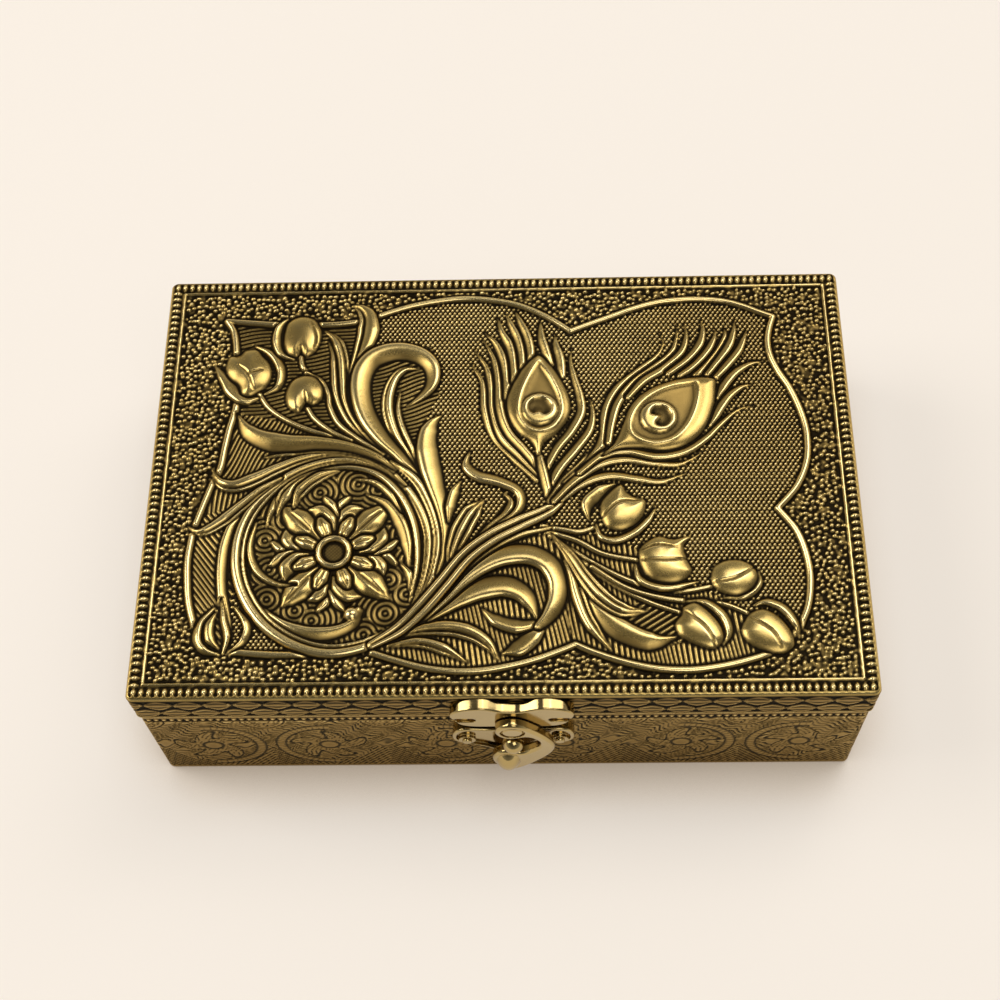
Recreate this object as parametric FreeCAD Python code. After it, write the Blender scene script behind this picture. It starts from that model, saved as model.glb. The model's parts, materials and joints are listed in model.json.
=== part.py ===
"""A small keepsake box: boards clad in embossed brass sheet, lined with velvet.

Frame: +Z up, origin at the centre of the underside, front (the clasp side) towards -Y. Millimetres.
The lid turns on two butt hinges at the back and is held by a swing hook at the front.
"""

import FreeCAD, Part
import math
import os

from FreeCAD import Vector

# Overall sizes
lid_width = 178.0
lid_depth = 120.0
box_height = 49.0
lid_height = 11.5
lid_overhang = 0.5
seam_gap = 0.3

# Boards
wall = 6.0
base_thickness = 4.0
lid_board = 4.0
corner_rebate = 3.0

# Sheet metal
sheet = 0.8
corner_radius = 1.8
sheet_seam = 0.4
top_skirt = 2.8
top_edge_round = 0.7

# Ridges pressed round the edge of the lid's top
bead_inset = 0.95
bead_width = 2.0
bead_rise = 0.8
line_gap = 0.55
line_width = 1.0
line_rise = 0.6
ridge_round_share = 0.8

# Ornament raised on the lid's top: leaves, scrolls, flowers and feathers inside a curved frame
ornament_rise = 1.6
ornament_end_share = 0.4
ornament_spans = 4
frame_rise = 1.0
stem_rise = 0.9
barb_rise = 1.1
feather_rise = 1.45
tulip_rise = 1.5

# The ornament's points and widths are shares of the lid: columns of its width and rows of its depth, from its middle
ornament_columns = 178
ornament_rows = 120
# Leaves and scrolls: shares of the full rise, widths from end to end, points from end to end
scroll_shares = [
    (0.94, [2.4, 4, 4, 4, 3.6, 3, 2.4, 2.2, 2],
     [(-27, -43), (-36, -47), (-46, -47), (-55, -42), (-62, -33), (-65, -23), (-63, -12), (-57, -3), (-48, 3),
      (-38, 4), (-29, 1), (-22, -6), (-18, -15), (-18, -25)]),
    (0.85, [0.6, 3.2, 3.4, 3], [(-58, -36), (-52, -40), (-45, -42), (-39, -41), (-36, -38)]),
    (0.7, [1.2, 2.6, 1.5], [(-67, -15), (-69, -24), (-68, -34)]),
    (0.75, [0.6, 3, 3, 0.6], [(-70, -36), (-73, -41), (-72, -46), (-67, -48)]),
    (0.75, [1, 3, 0.6], [(-64, -37), (-61, -42), (-65, -48)]),
    (0.8, [0.4, 3, 3.6, 2.6], [(-78, -14), (-75, -16), (-71, -14), (-68, -11)]),
    (0.85, [0.4, 4, 4, 3, 2], [(-73, 2), (-71, -1), (-67, -3), (-61, 0), (-53, 4)]),
    (0.95, [0.4, 5, 6, 5, 4, 3, 2], [(-68, 18), (-64, 13), (-57, 10), (-48, 9), (-39, 8), (-31, 5)]),
    (0.75, [0.4, 3, 3, 2.6, 2], [(-47, 44), (-43, 39), (-42, 31), (-42, 24), (-39, 17)]),
    (0.9, [0.4, 5, 6, 5, 3], [(-40, 51), (-37, 50), (-35, 46), (-36, 41)]),
    (1, [2, 4, 5.4, 6, 6, 6, 5.6, 4.6, 0.4],
     [(-24, 3), (-30, 10), (-35, 18), (-36, 28), (-33, 35), (-26, 37), (-20, 34), (-18, 28), (-24, 20)]),
    (0.85, [0.4, 3, 3, 2.4, 1.5], [(-22, 31), (-27, 30), (-29, 24), (-29, 18), (-27, 13)]),
    (0.95, [0.4, 5, 6, 5.6, 4.4, 3.2, 2.2],
     [(-15, 17), (-18, 13), (-19, 7), (-17, -1), (-15, -9), (-14, -17), (-14, -25)]),
    (0.85, [0.4, 3.2, 3.6, 3, 2.4], [(-8, 7), (-8, 1), (-3, -2), (3, -4), (4, -9), (1, -12)]),
    (0.8, [0.4, 5.4, 5, 2], [(-4, -7), (-8, -12), (-11, -19)]),
    (0.97, [0.4, 4, 4.6, 4.6, 3], [(18, -5), (6, -13), (-6, -20), (-15, -31), (-24, -41)]),
    (1, [2, 4, 5.4, 6, 6, 5.6, 4], [(-12, -33), (-8, -28), (-2, -24), (6, -23), (12, -26), (13, -34), (9, -41)]),
    (0.9, [1.2, 5, 6.2, 5, 1.5], [(-13, -37), (-9, -34), (-3, -32), (4, -33), (7, -37)]),
    (0.8, [0.4, 4, 2], [(-4, -37), (0, -40), (5, -41)]),
    (0.8, [2.4, 4, 0.4], [(8, -44), (4, -47), (0, -48)]),
    (0.8, [1.5, 3, 4, 0.4], [(-22, -43), (-14, -42), (-6, -44), (-1, -50)]),
    (0.75, [1, 3, 0.4], [(-22, -46), (-15, -47), (-9, -50)]),
    (0.75, [1, 2.8, 3.4, 0.4], [(16, -22), (22, -31), (28, -37), (35, -38)]),
    (0.92, [1, 3.4, 5.6, 5, 0.4], [(18, -28), (24, -38), (31, -45), (37, -46), (42, -45)]),
    (0.75, [1, 3, 3, 0.4], [(18, -34), (21, -41), (26, -48)]),
]
# The frame's runs, which meet in cusps
frame_width_shares = [2.2, 2.2]
frame_shares = [
    [(-72, 47), (-58, 46), (-42, 46)],
    [(-33, 48), (-22, 52), (-8, 53), (6, 50), (18, 42)],
    [(18, 42), (32, 48), (46, 52), (60, 51), (71, 46)],
    [(71, 46), (69, 38), (71, 30), (76, 18), (77, 8), (75, -2), (68, -11)],
    [(68, -11), (73, -19), (75, -30), (73, -38)],
    [(56, -52), (45, -53), (32, -52), (18, -47)],
    [(18, -47), (6, -51), (-8, -53), (-20, -52), (-30, -49)],
    [(-75, -37), (-77, -26), (-76, -19)],
    [(-71, 5), (-70, 13), (-69, 20)],
    [(-70, 39), (-71, 43), (-72, 47)],
]
# Flower stems, from root to flower
stem_width_shares = [1.4, 1.6, 1.4]
stem_shares = [
    [(10, -16), (17, -16), (23, -15)],
    [(12, -18), (24, -22), (32, -25)],
    [(20, -23), (32, -30), (42, -33), (50, -32)],
    [(24, -28), (33, -34), (42, -38)],
    [(44, -35), (53, -36), (58, -39)],
]
# Tulips, from stem to tip
tulip_shares = [
    ([4, 12, 11, 5], [(-64, 24), (-65, 29), (-67, 34), (-68, 38)]),
    ([4, 9.6, 9.6, 4], [(-53, 35), (-53, 40), (-53, 44), (-53, 48)]),
    ([4, 9.4, 9, 3], [(-50, 19), (-51, 23), (-51, 27), (-52, 30)]),
    ([4, 10.5, 9, 2], [(27, -16), (29, -12), (31, -8), (31, -4)]),
    ([5, 11.5, 11, 3], [(34, -27), (38, -26), (42, -24), (46, -21)]),
    ([4, 9, 9, 4], [(51, -31), (54, -30), (58, -29), (62, -28)]),
    ([4, 9, 9.4, 4], [(43, -39), (46, -41), (49, -44), (52, -47)]),
    ([4, 10, 10, 4], [(59, -40), (62, -42), (65, -45), (68, -48)]),
]
# Feathers: their swelling fields, the round eyes on them, and their barbs from tip to root
feather_shares = [
    ([1, 12, 17, 11, 0.6], [(9, 6), (9, 13), (9, 20), (10, 28), (10, 35)]),
    ([1, 10, 18, 15, 1], [(26, 6), (33, 10), (41, 15), (48, 21), (55, 27)]),
]
feather_eye_share = 4.8
feather_eye_shares = [(10, 18), (40, 15)]
barb_width_shares = [0.4, 2, 2, 1.6]
barb_shares = [
    [(-8, 33), (-5, 24), (-2, 11), (5, 3)],
    [(-6, 40), (-2, 29), (-1, 17), (3, 8)],
    [(0, 48), (3, 41), (5, 35)],
    [(10, 46), (11, 40), (13, 35)],
    [(14, 41), (15, 35), (17, 29)],
    [(19, 37), (19, 28), (20, 20), (16, 11), (12, 3)],
    [(41, 41), (38, 33), (30, 25), (26, 15), (24, 7)],
    [(46, 44), (44, 36), (36, 29), (31, 21)],
    [(52, 45), (50, 36), (44, 30)],
    [(58, 43), (56, 36), (51, 31)],
    [(63, 42), (61, 35), (56, 30)],
    [(67, 32), (61, 29), (58, 24)],
    [(64, 25), (59, 22), (56, 16)],
    [(65, 19), (58, 15), (50, 7), (40, 3), (31, 4)],
    [(50, 4), (42, 0), (33, 1), (24, 0)],
    [(46, -2), (38, -4), (28, -3), (19, -4)],
]
# The rosette: its middle, its hub, and the reach and width of its leaves and lobes
rosette_shares = (-41, -22)
rosette_hub_share = 4.7
rosette_count = 4
rosette_leaf_shares = ([3, 7, 0.5], [5, 11, 18.5])
rosette_leaf_rise = 1.3
rosette_lobe_shares = ([3, 6, 2], [5, 10, 15])
rosette_lobe_rise = 1.2

# Cloth
base_cloth = 0.6
base_cloth_inset = 2.0
wall_lining = 1.2
floor_pad = 1.8
lid_pad = 1.6

# Hinges
hinge_spacing_share = 0.584
hinge_length = 22.0
knuckle_radius = 1.6
hinge_pin_radius = 0.8
hinge_leaf = 0.8
hinge_leaf_margin = 0.6
hinge_middle_share = 0.4
hinge_axis_offset = 0.15
pin_head_radius = 1.2
pin_head = 0.5
hinge_screw_spacing = 13.0

# Clasp: two plates, a stud and a hook
clasp_offset = 2.4
plate_width = 29.8
plate_edge_round = 0.4
nail_inset = 3.5
hook_plate_drop = 0.6
hook_plate_height = 11.5
hook_plate_depth = 2.8
slot_length = 5.6
slot_depth = 1.2
pivot_drop = 9.3
keeper_drop = 3.6
keeper_height = 16.4
keeper_depth = 2.6
keeper_rim = 0.9
keeper_pocket = 0.8
stud_drop = 9.6
stud_ball_radius = 2.6
stud_neck_radius = 1.6
stud_lead = 1.1
hook_thickness = 2.2
hook_gap = 0.3
hook_reach = 10.3
hook_drop = 25.9
hook_edge_round = 0.8
eye_radius = 4.2
eye_dish_radius = 3.0
eye_dish = 0.8
grip_offset = 1.4
grip_drop = 19.2
grip_width = 7.0
grip_height = 10.4
grip_proud = 2.2
rivet_radius = 1.4
rivet_head_radius = 2.6
rivet_head = 0.7
rivet_tail_radius = 2.4
rivet_tail = 0.8

# Right halves of the clasp plates' outlines: shares of half the width, and of the height from the top
hook_plate_shares = [
    (0.0, 0.17), (0.2, 0.13), (0.42, 0.0), (0.7, 0.02), (0.9, 0.14), (0.99, 0.34),
    (0.93, 0.62), (0.84, 0.84), (0.65, 0.96), (0.3, 0.98), (0.0, 1.0),
]
keeper_shares = [
    (0.0, 0.0), (0.3, 0.04), (0.62, 0.03), (0.88, 0.06), (1.0, 0.28),
    (0.95, 0.5), (0.78, 0.61), (0.5, 0.74), (0.22, 0.93), (0.0, 1.0),
]
hook_plate_nail_share = 0.6
keeper_nail_share = 0.46

# The hook's outline from its eye to its tip and back: shares of its reach, and of its drop below the pivot
hook_shares = [
    (0.48, -0.02), (0.8, 0.17), (0.99, 0.37), (0.93, 0.52), (0.64, 0.73), (0.29, 0.91),
    (-0.06, 1.0), (-0.35, 0.92), (-0.51, 0.75), (-0.41, 0.58), (-0.15, 0.52), (0.15, 0.56),
    (0.45, 0.48), (0.63, 0.34), (0.54, 0.19), (0.31, 0.12),
]
eye_start = 270
eye_turn = 180
eye_points = 4

# Fasteners
nail_radius = 0.6
nail_head_radius = 1.2
nail_head = 0.6
nail_length = 6.5
screw_radius = 0.7
screw_head_radius = 1.3
screw_length = 5.0

# Fits
slip = 0.05
running = 0.05
play = 0.3
overrun = 1.0

# Levels and faces that several pieces share
seam = box_height - lid_height
body_top = seam - seam_gap
body_width = lid_width - 2 * lid_overhang
body_depth = lid_depth - 2 * lid_overhang
front_face = -body_depth / 2
lid_front_face = -lid_depth / 2
wood_width = body_width - 2 * sheet
wood_depth = body_depth - 2 * sheet
lid_wood_width = lid_width - 2 * sheet
lid_wood_depth = lid_depth - 2 * sheet
wood_corner = max(corner_radius - sheet, slip)
base_top = base_cloth + base_thickness
lid_board_top = box_height - sheet
rail_top = lid_board_top - lid_board
room_width = wood_width - 2 * wall
room_depth = wood_depth - 2 * wall
lid_room_width = lid_wood_width - 2 * wall
lid_room_depth = lid_wood_depth - 2 * wall
hinge_y = body_depth / 2 + hinge_axis_offset
hinge_z = body_top + seam_gap / 2
leaf_outer = hinge_y - knuckle_radius - play
leaf_inner = lid_room_depth / 2 + hinge_leaf_margin
hinge_spacing = lid_width * hinge_spacing_share
ornament_column = lid_width / ornament_columns
hinge_places = {"left": -hinge_spacing / 2, "right": hinge_spacing / 2}
hook_plate_top = box_height - hook_plate_drop
hook_plate_face = lid_front_face - hook_plate_depth
hook_plate_nail_z = hook_plate_top - hook_plate_height * hook_plate_nail_share
slot_floor = hook_plate_face + slot_depth
hook_back = hook_plate_face - hook_gap
hook_front = hook_back - hook_thickness
pivot_z = hook_plate_top - pivot_drop
keeper_top = body_top - keeper_drop
keeper_face = front_face - keeper_depth
keeper_nail_z = keeper_top - keeper_height * keeper_nail_share
stud_z = pivot_z - stud_drop
nail_x = plate_width / 2 - nail_inset


def block(x0, x1, y0, y1, z0, z1):
    """A box between two corners."""
    return Part.makeBox(x1 - x0, y1 - y0, z1 - z0, Vector(x0, y0, z0))


def slab(width, depth, z0, z1, radius=0):
    """A board centred on the Z axis, with rounded upright corners."""
    board = block(-width / 2, width / 2, -depth / 2, depth / 2, z0, z1)
    return rounded(board, radius, upright) if radius else board


def rounded(shape, radius, chosen):
    """The shape with the chosen edges filleted."""
    return shape.makeFillet(radius, [e for e in shape.Edges if chosen(e)])


def upright(edge):
    """True for a straight edge along Z."""
    ends = [v.Point for v in edge.Vertexes]
    return len(ends) == 2 and ends[0].sub(ends[1]).cross(Vector(0, 0, 1)).Length < slip


def level_at(z):
    """A chooser of edges that lie wholly at one height."""
    return lambda edge: abs(edge.BoundBox.ZMin - z) < slip and abs(edge.BoundBox.ZMax - z) < slip


def flush_at(y):
    """A chooser of edges that lie wholly in one upright plane across Y."""
    return lambda edge: abs(edge.BoundBox.YMin - y) < slip and abs(edge.BoundBox.YMax - y) < slip


def rod(radius, start, end):
    """A round bar from one point to another."""
    return Part.makeCylinder(radius, end.sub(start).Length, start, end.sub(start))


def frontal(points, y, depth):
    """A plate with a smooth closed outline in the XZ plane, standing forward of y by depth."""
    curve = Part.BSplineCurve()
    curve.interpolate(Points=[Vector(x, y, z) for x, z in points], PeriodicFlag=True)
    face = Part.Face(Part.Wire(curve.toShape()))
    return face.extrude(Vector(0, -depth, 0))


def ring(width, depth, z0, z1):
    """A strip of sheet bent round four corners, its ends meeting at the middle of the back."""
    outer = slab(width, depth, z0, z1, corner_radius)
    inner = slab(width - 2 * sheet, depth - 2 * sheet, z0 - overrun, z1 + overrun, wood_corner)
    half_seam = sheet_seam / 2
    slit = block(-half_seam, half_seam, 0, depth, z0 - overrun, z1 + overrun)
    return outer.cut(inner).cut(slit)


def nail_spots(z, y):
    """Where the two nails of a clasp plate stand, on the plane y."""
    return [Vector(clasp_offset + side * nail_x, y, z) for side in (-1, 1)]


def nail_hole(seat):
    """What a nail takes out of its plate and the pieces behind it, from the plane that its head seats on."""
    return rod(nail_radius + slip, seat - Vector(0, overrun, 0), seat + Vector(0, nail_length + slip, 0))


def nail(seat):
    """A round-headed nail whose head seats on the plane through seat, driven towards +Y."""
    dome = Part.makeSphere(nail_head_radius, seat)
    front = block(
        seat.x - nail_head_radius, seat.x + nail_head_radius, seat.y - nail_head, seat.y,
        seat.z - nail_head_radius, seat.z + nail_head_radius,
    )
    shank = rod(nail_radius, seat, seat + Vector(0, nail_length, 0))
    return dome.common(front).fuse(shank).removeSplitter()


def screw_spots(x):
    """Where the two screws of a hinge leaf stand, seen from above."""
    y = (leaf_inner + leaf_outer) / 2
    return [Vector(x + side * hinge_screw_spacing / 2, y, 0) for side in (-1, 1)]


def screw(spot, z, way):
    """A countersunk screw with its flat head flush at z, driven up (way 1) or down (way -1)."""
    top = Vector(spot.x, spot.y, z)
    head = Part.makeCone(screw_head_radius, screw_radius, hinge_leaf, top, Vector(0, 0, way))
    shank = rod(screw_radius, top, top + Vector(0, 0, way * screw_length))
    return head.fuse(shank).removeSplitter()


def screw_hole(spot, z, way):
    """The pilot hole of a screw in the board behind its leaf."""
    top = Vector(spot.x, spot.y, z)
    return rod(screw_radius + slip, top, top + Vector(0, 0, way * (screw_length + overrun)))


def knuckle_notch(x):
    """The room that a hinge's knuckles need in the boards and sheets."""
    reach = knuckle_radius + play
    half = hinge_length / 2 + pin_head + play
    return block(x - half, x + half, hinge_y - reach, hinge_y + reach, hinge_z - reach, hinge_z + reach)


def leaf_recess(x, z0, z1):
    """The shallow seat of a hinge leaf in a rim."""
    half = hinge_length / 2 + slip
    return block(x - half, x + half, leaf_inner - slip, hinge_y, z0, z1)


def hinge_spans(x):
    """The three knuckles along a hinge, as pairs of X: outer, middle, outer."""
    middle = hinge_length * hinge_middle_share / 2
    ends = hinge_length / 2
    gap = running
    return [(x - ends, x - middle - gap), (x - middle + gap, x + middle - gap), (x + middle + gap, x + ends)]


def hinge_leaf_piece(x, way, own):
    """One leaf with its own knuckles: way 1 is the lid's leaf above the seam, -1 the body's below."""
    near = hinge_z + way * seam_gap / 2
    far = near + way * hinge_leaf
    z0, z1 = min(near, far), max(near, far)
    half = hinge_length / 2
    leaf = block(x - half, x + half, leaf_inner, leaf_outer, z0, z1)
    for x0, x1 in own:
        barrel = rod(knuckle_radius, Vector(x0, hinge_y, hinge_z), Vector(x1, hinge_y, hinge_z))
        leaf = leaf.fuse(block(x0, x1, leaf_outer, hinge_y, z0, z1)).fuse(barrel)
    for spot in screw_spots(x):
        sink = Part.makeCone(
            screw_head_radius + slip, screw_radius + slip, hinge_leaf,
            Vector(spot.x, spot.y, near), Vector(0, 0, way),
        )
        leaf = leaf.cut(sink)
    bore = rod(
        hinge_pin_radius + running, Vector(x - hinge_length, hinge_y, hinge_z),
        Vector(x + hinge_length, hinge_y, hinge_z),
    )
    return leaf.removeSplitter().cut(bore)


def hinge_pin(x):
    """A hinge pin with a riveted head at each end."""
    ends = [Vector(x + side * hinge_length / 2, hinge_y, hinge_z) for side in (-1, 1)]
    pin = rod(hinge_pin_radius, *ends)
    for end, side in zip(ends, (-1, 1)):
        start = end + Vector(side * slip, 0, 0)
        tip = end + Vector(side * pin_head, 0, 0)
        pin = pin.fuse(rod(hinge_pin_radius, end, start))
        pin = pin.fuse(rounded(rod(pin_head_radius, start, tip), (pin_head - slip) / 2, at_x(tip.x)))
    return pin.removeSplitter()


def at_x(x):
    """A chooser of edges that lie wholly at one X."""
    return lambda edge: abs(edge.BoundBox.XMin - x) < slip / 2 and abs(edge.BoundBox.XMax - x) < slip / 2


def body_boards():
    """The base and the four walls of the body, rebated together at the corners."""
    half_width, half_depth = wood_width / 2, wood_depth / 2
    inner_depth = half_depth - wall
    pieces = {"base_board": slab(wood_width, wood_depth, base_cloth, base_top, wood_corner)}
    for name, side in (("front_wall", -1), ("back_wall", 1)):
        y0, y1 = sorted((side * inner_depth, side * half_depth))
        board = block(-half_width, half_width, y0, y1, base_top, body_top)
        outer = side * half_depth
        board = rounded(board, wood_corner, lambda e: upright(e) and flush_at(outer)(e))
        lip = side * (inner_depth + wall - corner_rebate)
        for end in (-1, 1):
            x0, x1 = sorted((end * (half_width - wall), end * (half_width + overrun)))
            r0, r1 = sorted((side * (inner_depth - overrun), lip))
            board = board.cut(block(x0, x1, r0, r1, base_top - overrun, body_top + overrun))
        pieces[name] = board
    end_depth = inner_depth + wall - corner_rebate
    for name, side in (("left_wall", -1), ("right_wall", 1)):
        x0, x1 = sorted((side * (half_width - wall), side * half_width))
        pieces[name] = block(x0, x1, -end_depth, end_depth, base_top, body_top)
    for seat in nail_spots(keeper_nail_z, keeper_face):
        pieces["front_wall"] = pieces["front_wall"].cut(nail_hole(seat))
    for x in hinge_places.values():
        back = pieces["back_wall"].cut(knuckle_notch(x))
        back = back.cut(leaf_recess(x, body_top - hinge_leaf, body_top + overrun))
        for spot in screw_spots(x):
            back = back.cut(screw_hole(spot, body_top, -1))
        pieces["back_wall"] = back
    return pieces


def lid_boards():
    """The lid's top board and the four rails under it."""
    half_width, half_depth = lid_wood_width / 2, lid_wood_depth / 2
    inner_width, inner_depth = half_width - wall, half_depth - wall
    pieces = {"lid_board": slab(lid_wood_width, lid_wood_depth, rail_top, lid_board_top, wood_corner)}
    for name, side in (("lid_front_rail", -1), ("lid_back_rail", 1)):
        y0, y1 = sorted((side * inner_depth, side * half_depth))
        rail = block(-half_width, half_width, y0, y1, seam, rail_top)
        outer = side * half_depth
        pieces[name] = rounded(rail, wood_corner, lambda e: upright(e) and flush_at(outer)(e))
    for name, side in (("lid_left_rail", -1), ("lid_right_rail", 1)):
        x0, x1 = sorted((side * inner_width, side * half_width))
        pieces[name] = block(x0, x1, -inner_depth, inner_depth, seam, rail_top)
    for seat in nail_spots(hook_plate_nail_z, slot_floor):
        pieces["lid_front_rail"] = pieces["lid_front_rail"].cut(nail_hole(seat))
    for x in hinge_places.values():
        back = pieces["lid_back_rail"].cut(knuckle_notch(x))
        back = back.cut(leaf_recess(x, seam - overrun, seam + hinge_leaf))
        for spot in screw_spots(x):
            back = back.cut(screw_hole(spot, seam, 1))
        pieces["lid_back_rail"] = back
    return pieces


def cladding():
    """The strip round the body, the strip round the lid and the pressed sheet over its top."""
    body_wrap = ring(body_width, body_depth, base_cloth, body_top)
    lid_band = ring(lid_width, lid_depth, seam, box_height - top_skirt)
    for x in hinge_places.values():
        body_wrap = body_wrap.cut(knuckle_notch(x))
        lid_band = lid_band.cut(knuckle_notch(x))
    for seat in nail_spots(keeper_nail_z, keeper_face):
        body_wrap = body_wrap.cut(nail_hole(seat))
    for seat in nail_spots(hook_plate_nail_z, slot_floor):
        lid_band = lid_band.cut(nail_hole(seat))
    return {"body_wrap": body_wrap, "lid_band": lid_band, "lid_top_sheet": lid_top_sheet()}


def lid_top_sheet():
    """The lid's pressed top: a shallow pan with a bead, a line and the ornament raised on it."""
    pan = slab(lid_width, lid_depth, box_height - top_skirt, box_height, corner_radius)
    pan = rounded(pan, top_edge_round, level_at(box_height))
    floor = box_height - top_skirt - overrun
    hollow = slab(lid_wood_width, lid_wood_depth, floor, lid_board_top, wood_corner)
    bead = border_ridge(bead_inset, bead_width, bead_rise)
    line = border_ridge(bead_inset + bead_width + line_gap, line_width, line_rise)
    return pan.cut(hollow).fuse([bead, line] + lid_ornament()).removeSplitter()


def border_ridge(inset, width, rise):
    """A raised band that runs round the lid's top at a distance from its edge."""
    outer_width, outer_depth = lid_width - 2 * inset, lid_depth - 2 * inset
    low, high = box_height - sheet / 2, box_height + rise
    outer = slab(outer_width, outer_depth, low, high, max(corner_radius - inset, slip))
    inner = slab(outer_width - 2 * width, outer_depth - 2 * width, low - overrun, high + overrun)
    return rounded(outer.cut(inner), min(rise, width / 2) * ridge_round_share, level_at(high))


def on_lid(column, row):
    """A place on the lid's top from its columns and rows."""
    return Vector(column * ornament_column, row * lid_depth / ornament_rows, box_height)


def width_between(widths, share):
    """The width at a share of the way along, between those given."""
    place = share * (len(widths) - 1)
    i = min(int(place), len(widths) - 2)
    return (widths[i] + (widths[i + 1] - widths[i]) * (place - i)) * ornament_column


def raised_form(points, widths, rise):
    """A gabled ridge along a smooth line on the lid's top, lower where it is narrow, its foot sunk in the sheet."""
    line = Part.BSplineCurve()
    line.interpolate([on_lid(*point) for point in points])
    foot = Vector(0, 0, sheet / 2)
    widest = max(widths) * ornament_column
    count = max(ornament_spans, len(points) - 1)
    sections = []
    for i in range(count + 1):
        share = i / count
        place = line.FirstParameter + (line.LastParameter - line.FirstParameter) * share
        middle, along = line.value(place), line.tangent(place)[0]
        width = width_between(widths, share)
        high = rise * (ornament_end_share + (1 - ornament_end_share) * width / widest)
        spread = width / 2 * (high + sheet / 2) / high
        side = Vector(-along.y, along.x, 0) * spread
        left, right = middle - foot - side, middle - foot + side
        sections.append(Part.makePolygon([left, middle + Vector(0, 0, high), right, left]))
    return Part.makeLoft(sections, True, True)


def raised_disc(centre, radius_share, rise):
    """A round boss on the lid's top."""
    foot = on_lid(*centre) - Vector(0, 0, sheet / 2)
    return rod(radius_share * ornament_column, foot, on_lid(*centre) + Vector(0, 0, rise))


def rosette():
    """Leaves and lobes in turn round a hub."""
    column, row = rosette_shares
    forms = [raised_disc(rosette_shares, rosette_hub_share, ornament_rise)]
    step = 2 * math.pi / rosette_count
    kinds = ((rosette_leaf_shares, rosette_leaf_rise, step / 2), (rosette_lobe_shares, rosette_lobe_rise, 0))
    for (widths, reaches), rise, start in kinds:
        for i in range(rosette_count):
            turn = start + i * step
            points = [(column + reach * math.cos(turn), row + reach * math.sin(turn)) for reach in reaches]
            forms.append(raised_form(points, widths, rise))
    return forms


def lid_ornament():
    """Every raised form of the lid's top."""
    forms = [raised_form(points, widths, ornament_rise * share) for share, widths, points in scroll_shares]
    forms += [raised_form(points, frame_width_shares, frame_rise) for points in frame_shares]
    forms += [raised_form(points, stem_width_shares, stem_rise) for points in stem_shares]
    forms += [raised_form(points, widths, tulip_rise) for widths, points in tulip_shares]
    forms += [raised_form(points, widths, feather_rise) for widths, points in feather_shares]
    forms += [raised_disc(centre, feather_eye_share, ornament_rise) for centre in feather_eye_shares]
    forms += [raised_form(points, barb_width_shares, barb_rise) for points in barb_shares]
    return forms + rosette()


def linings():
    """The velvet inside: a pad on the floor, one under the lid, and a strip on each wall."""
    pieces = {"floor_pad": slab(room_width, room_depth, base_top, base_top + floor_pad)}
    pieces["lid_pad"] = slab(lid_room_width, lid_room_depth, rail_top - lid_pad, rail_top)
    strips = (
        ("lining", room_width, room_depth, base_top + floor_pad, body_top),
        ("lid_lining", lid_room_width, lid_room_depth, seam, rail_top - lid_pad),
    )
    for stem, width, depth, z0, z1 in strips:
        half_width, half_depth = width / 2, depth / 2
        long_end = half_depth - wall_lining
        for name, side in (("front", -1), ("back", 1)):
            y0, y1 = sorted((side * long_end, side * half_depth))
            pieces[f"{stem}_{name}"] = block(-half_width, half_width, y0, y1, z0, z1)
        for name, side in (("left", -1), ("right", 1)):
            x0, x1 = sorted((side * (half_width - wall_lining), side * half_width))
            pieces[f"{stem}_{name}"] = block(x0, x1, -long_end, long_end, z0, z1)
    inset = 2 * base_cloth_inset
    pieces["base_cloth"] = slab(wood_width - inset, wood_depth - inset, 0, base_cloth)
    return pieces


def hinges():
    """Two butt hinges: each has a leaf on the body, a leaf on the lid and a pin."""
    pieces = {}
    body_screws, lid_screws = [], []
    for name, x in hinge_places.items():
        left, middle, right = hinge_spans(x)
        pieces[f"hinge_{name}_body_leaf"] = hinge_leaf_piece(x, -1, [left, right])
        pieces[f"hinge_{name}_lid_leaf"] = hinge_leaf_piece(x, 1, [middle])
        pieces[f"hinge_{name}_pin"] = hinge_pin(x)
        body_screws += [screw(spot, body_top, -1) for spot in screw_spots(x)]
        lid_screws += [screw(spot, seam, 1) for spot in screw_spots(x)]
    pieces["hinge_body_screws"] = Part.makeCompound(body_screws)
    pieces["hinge_lid_screws"] = Part.makeCompound(lid_screws)
    return pieces


def plate_outline(shares, top, height, inset=0):
    """A clasp plate's outline from the shares of its right half, drawn in by inset."""
    reach, drop = plate_width / 2 - inset, height - 2 * inset
    half = [(clasp_offset + sx * reach, top - inset - sz * drop) for sx, sz in shares]
    return half + [(2 * clasp_offset - x, z) for x, z in reversed(half[1:-1])]


def hook_plate():
    """The clasp's upper plate, on the lid: nail slots in its ears and a hole for the pivot rivet."""
    plate = frontal(plate_outline(hook_plate_shares, hook_plate_top, hook_plate_height),
                    lid_front_face, hook_plate_depth)
    plate = rounded(plate, plate_edge_round, flush_at(hook_plate_face))
    reach = nail_head_radius + slip
    half = slot_length / 2 - reach
    for seat in nail_spots(hook_plate_nail_z, slot_floor):
        mouth = seat - Vector(0, slot_depth + overrun, 0)
        slot = block(seat.x - half, seat.x + half, mouth.y, seat.y, seat.z - reach, seat.z + reach)
        for side in (-1, 1):
            end = Vector(side * half, 0, 0)
            slot = slot.fuse(rod(reach, mouth + end, seat + end))
        plate = plate.cut(slot).cut(nail_hole(seat))
    centre = Vector(clasp_offset, lid_front_face, pivot_z)
    bore = rod(rivet_radius + slip, centre, centre - Vector(0, hook_plate_depth + overrun, 0))
    tail = rod(rivet_tail_radius + slip, centre, centre - Vector(0, rivet_tail, 0))
    return plate.cut(bore).cut(tail)


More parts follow.
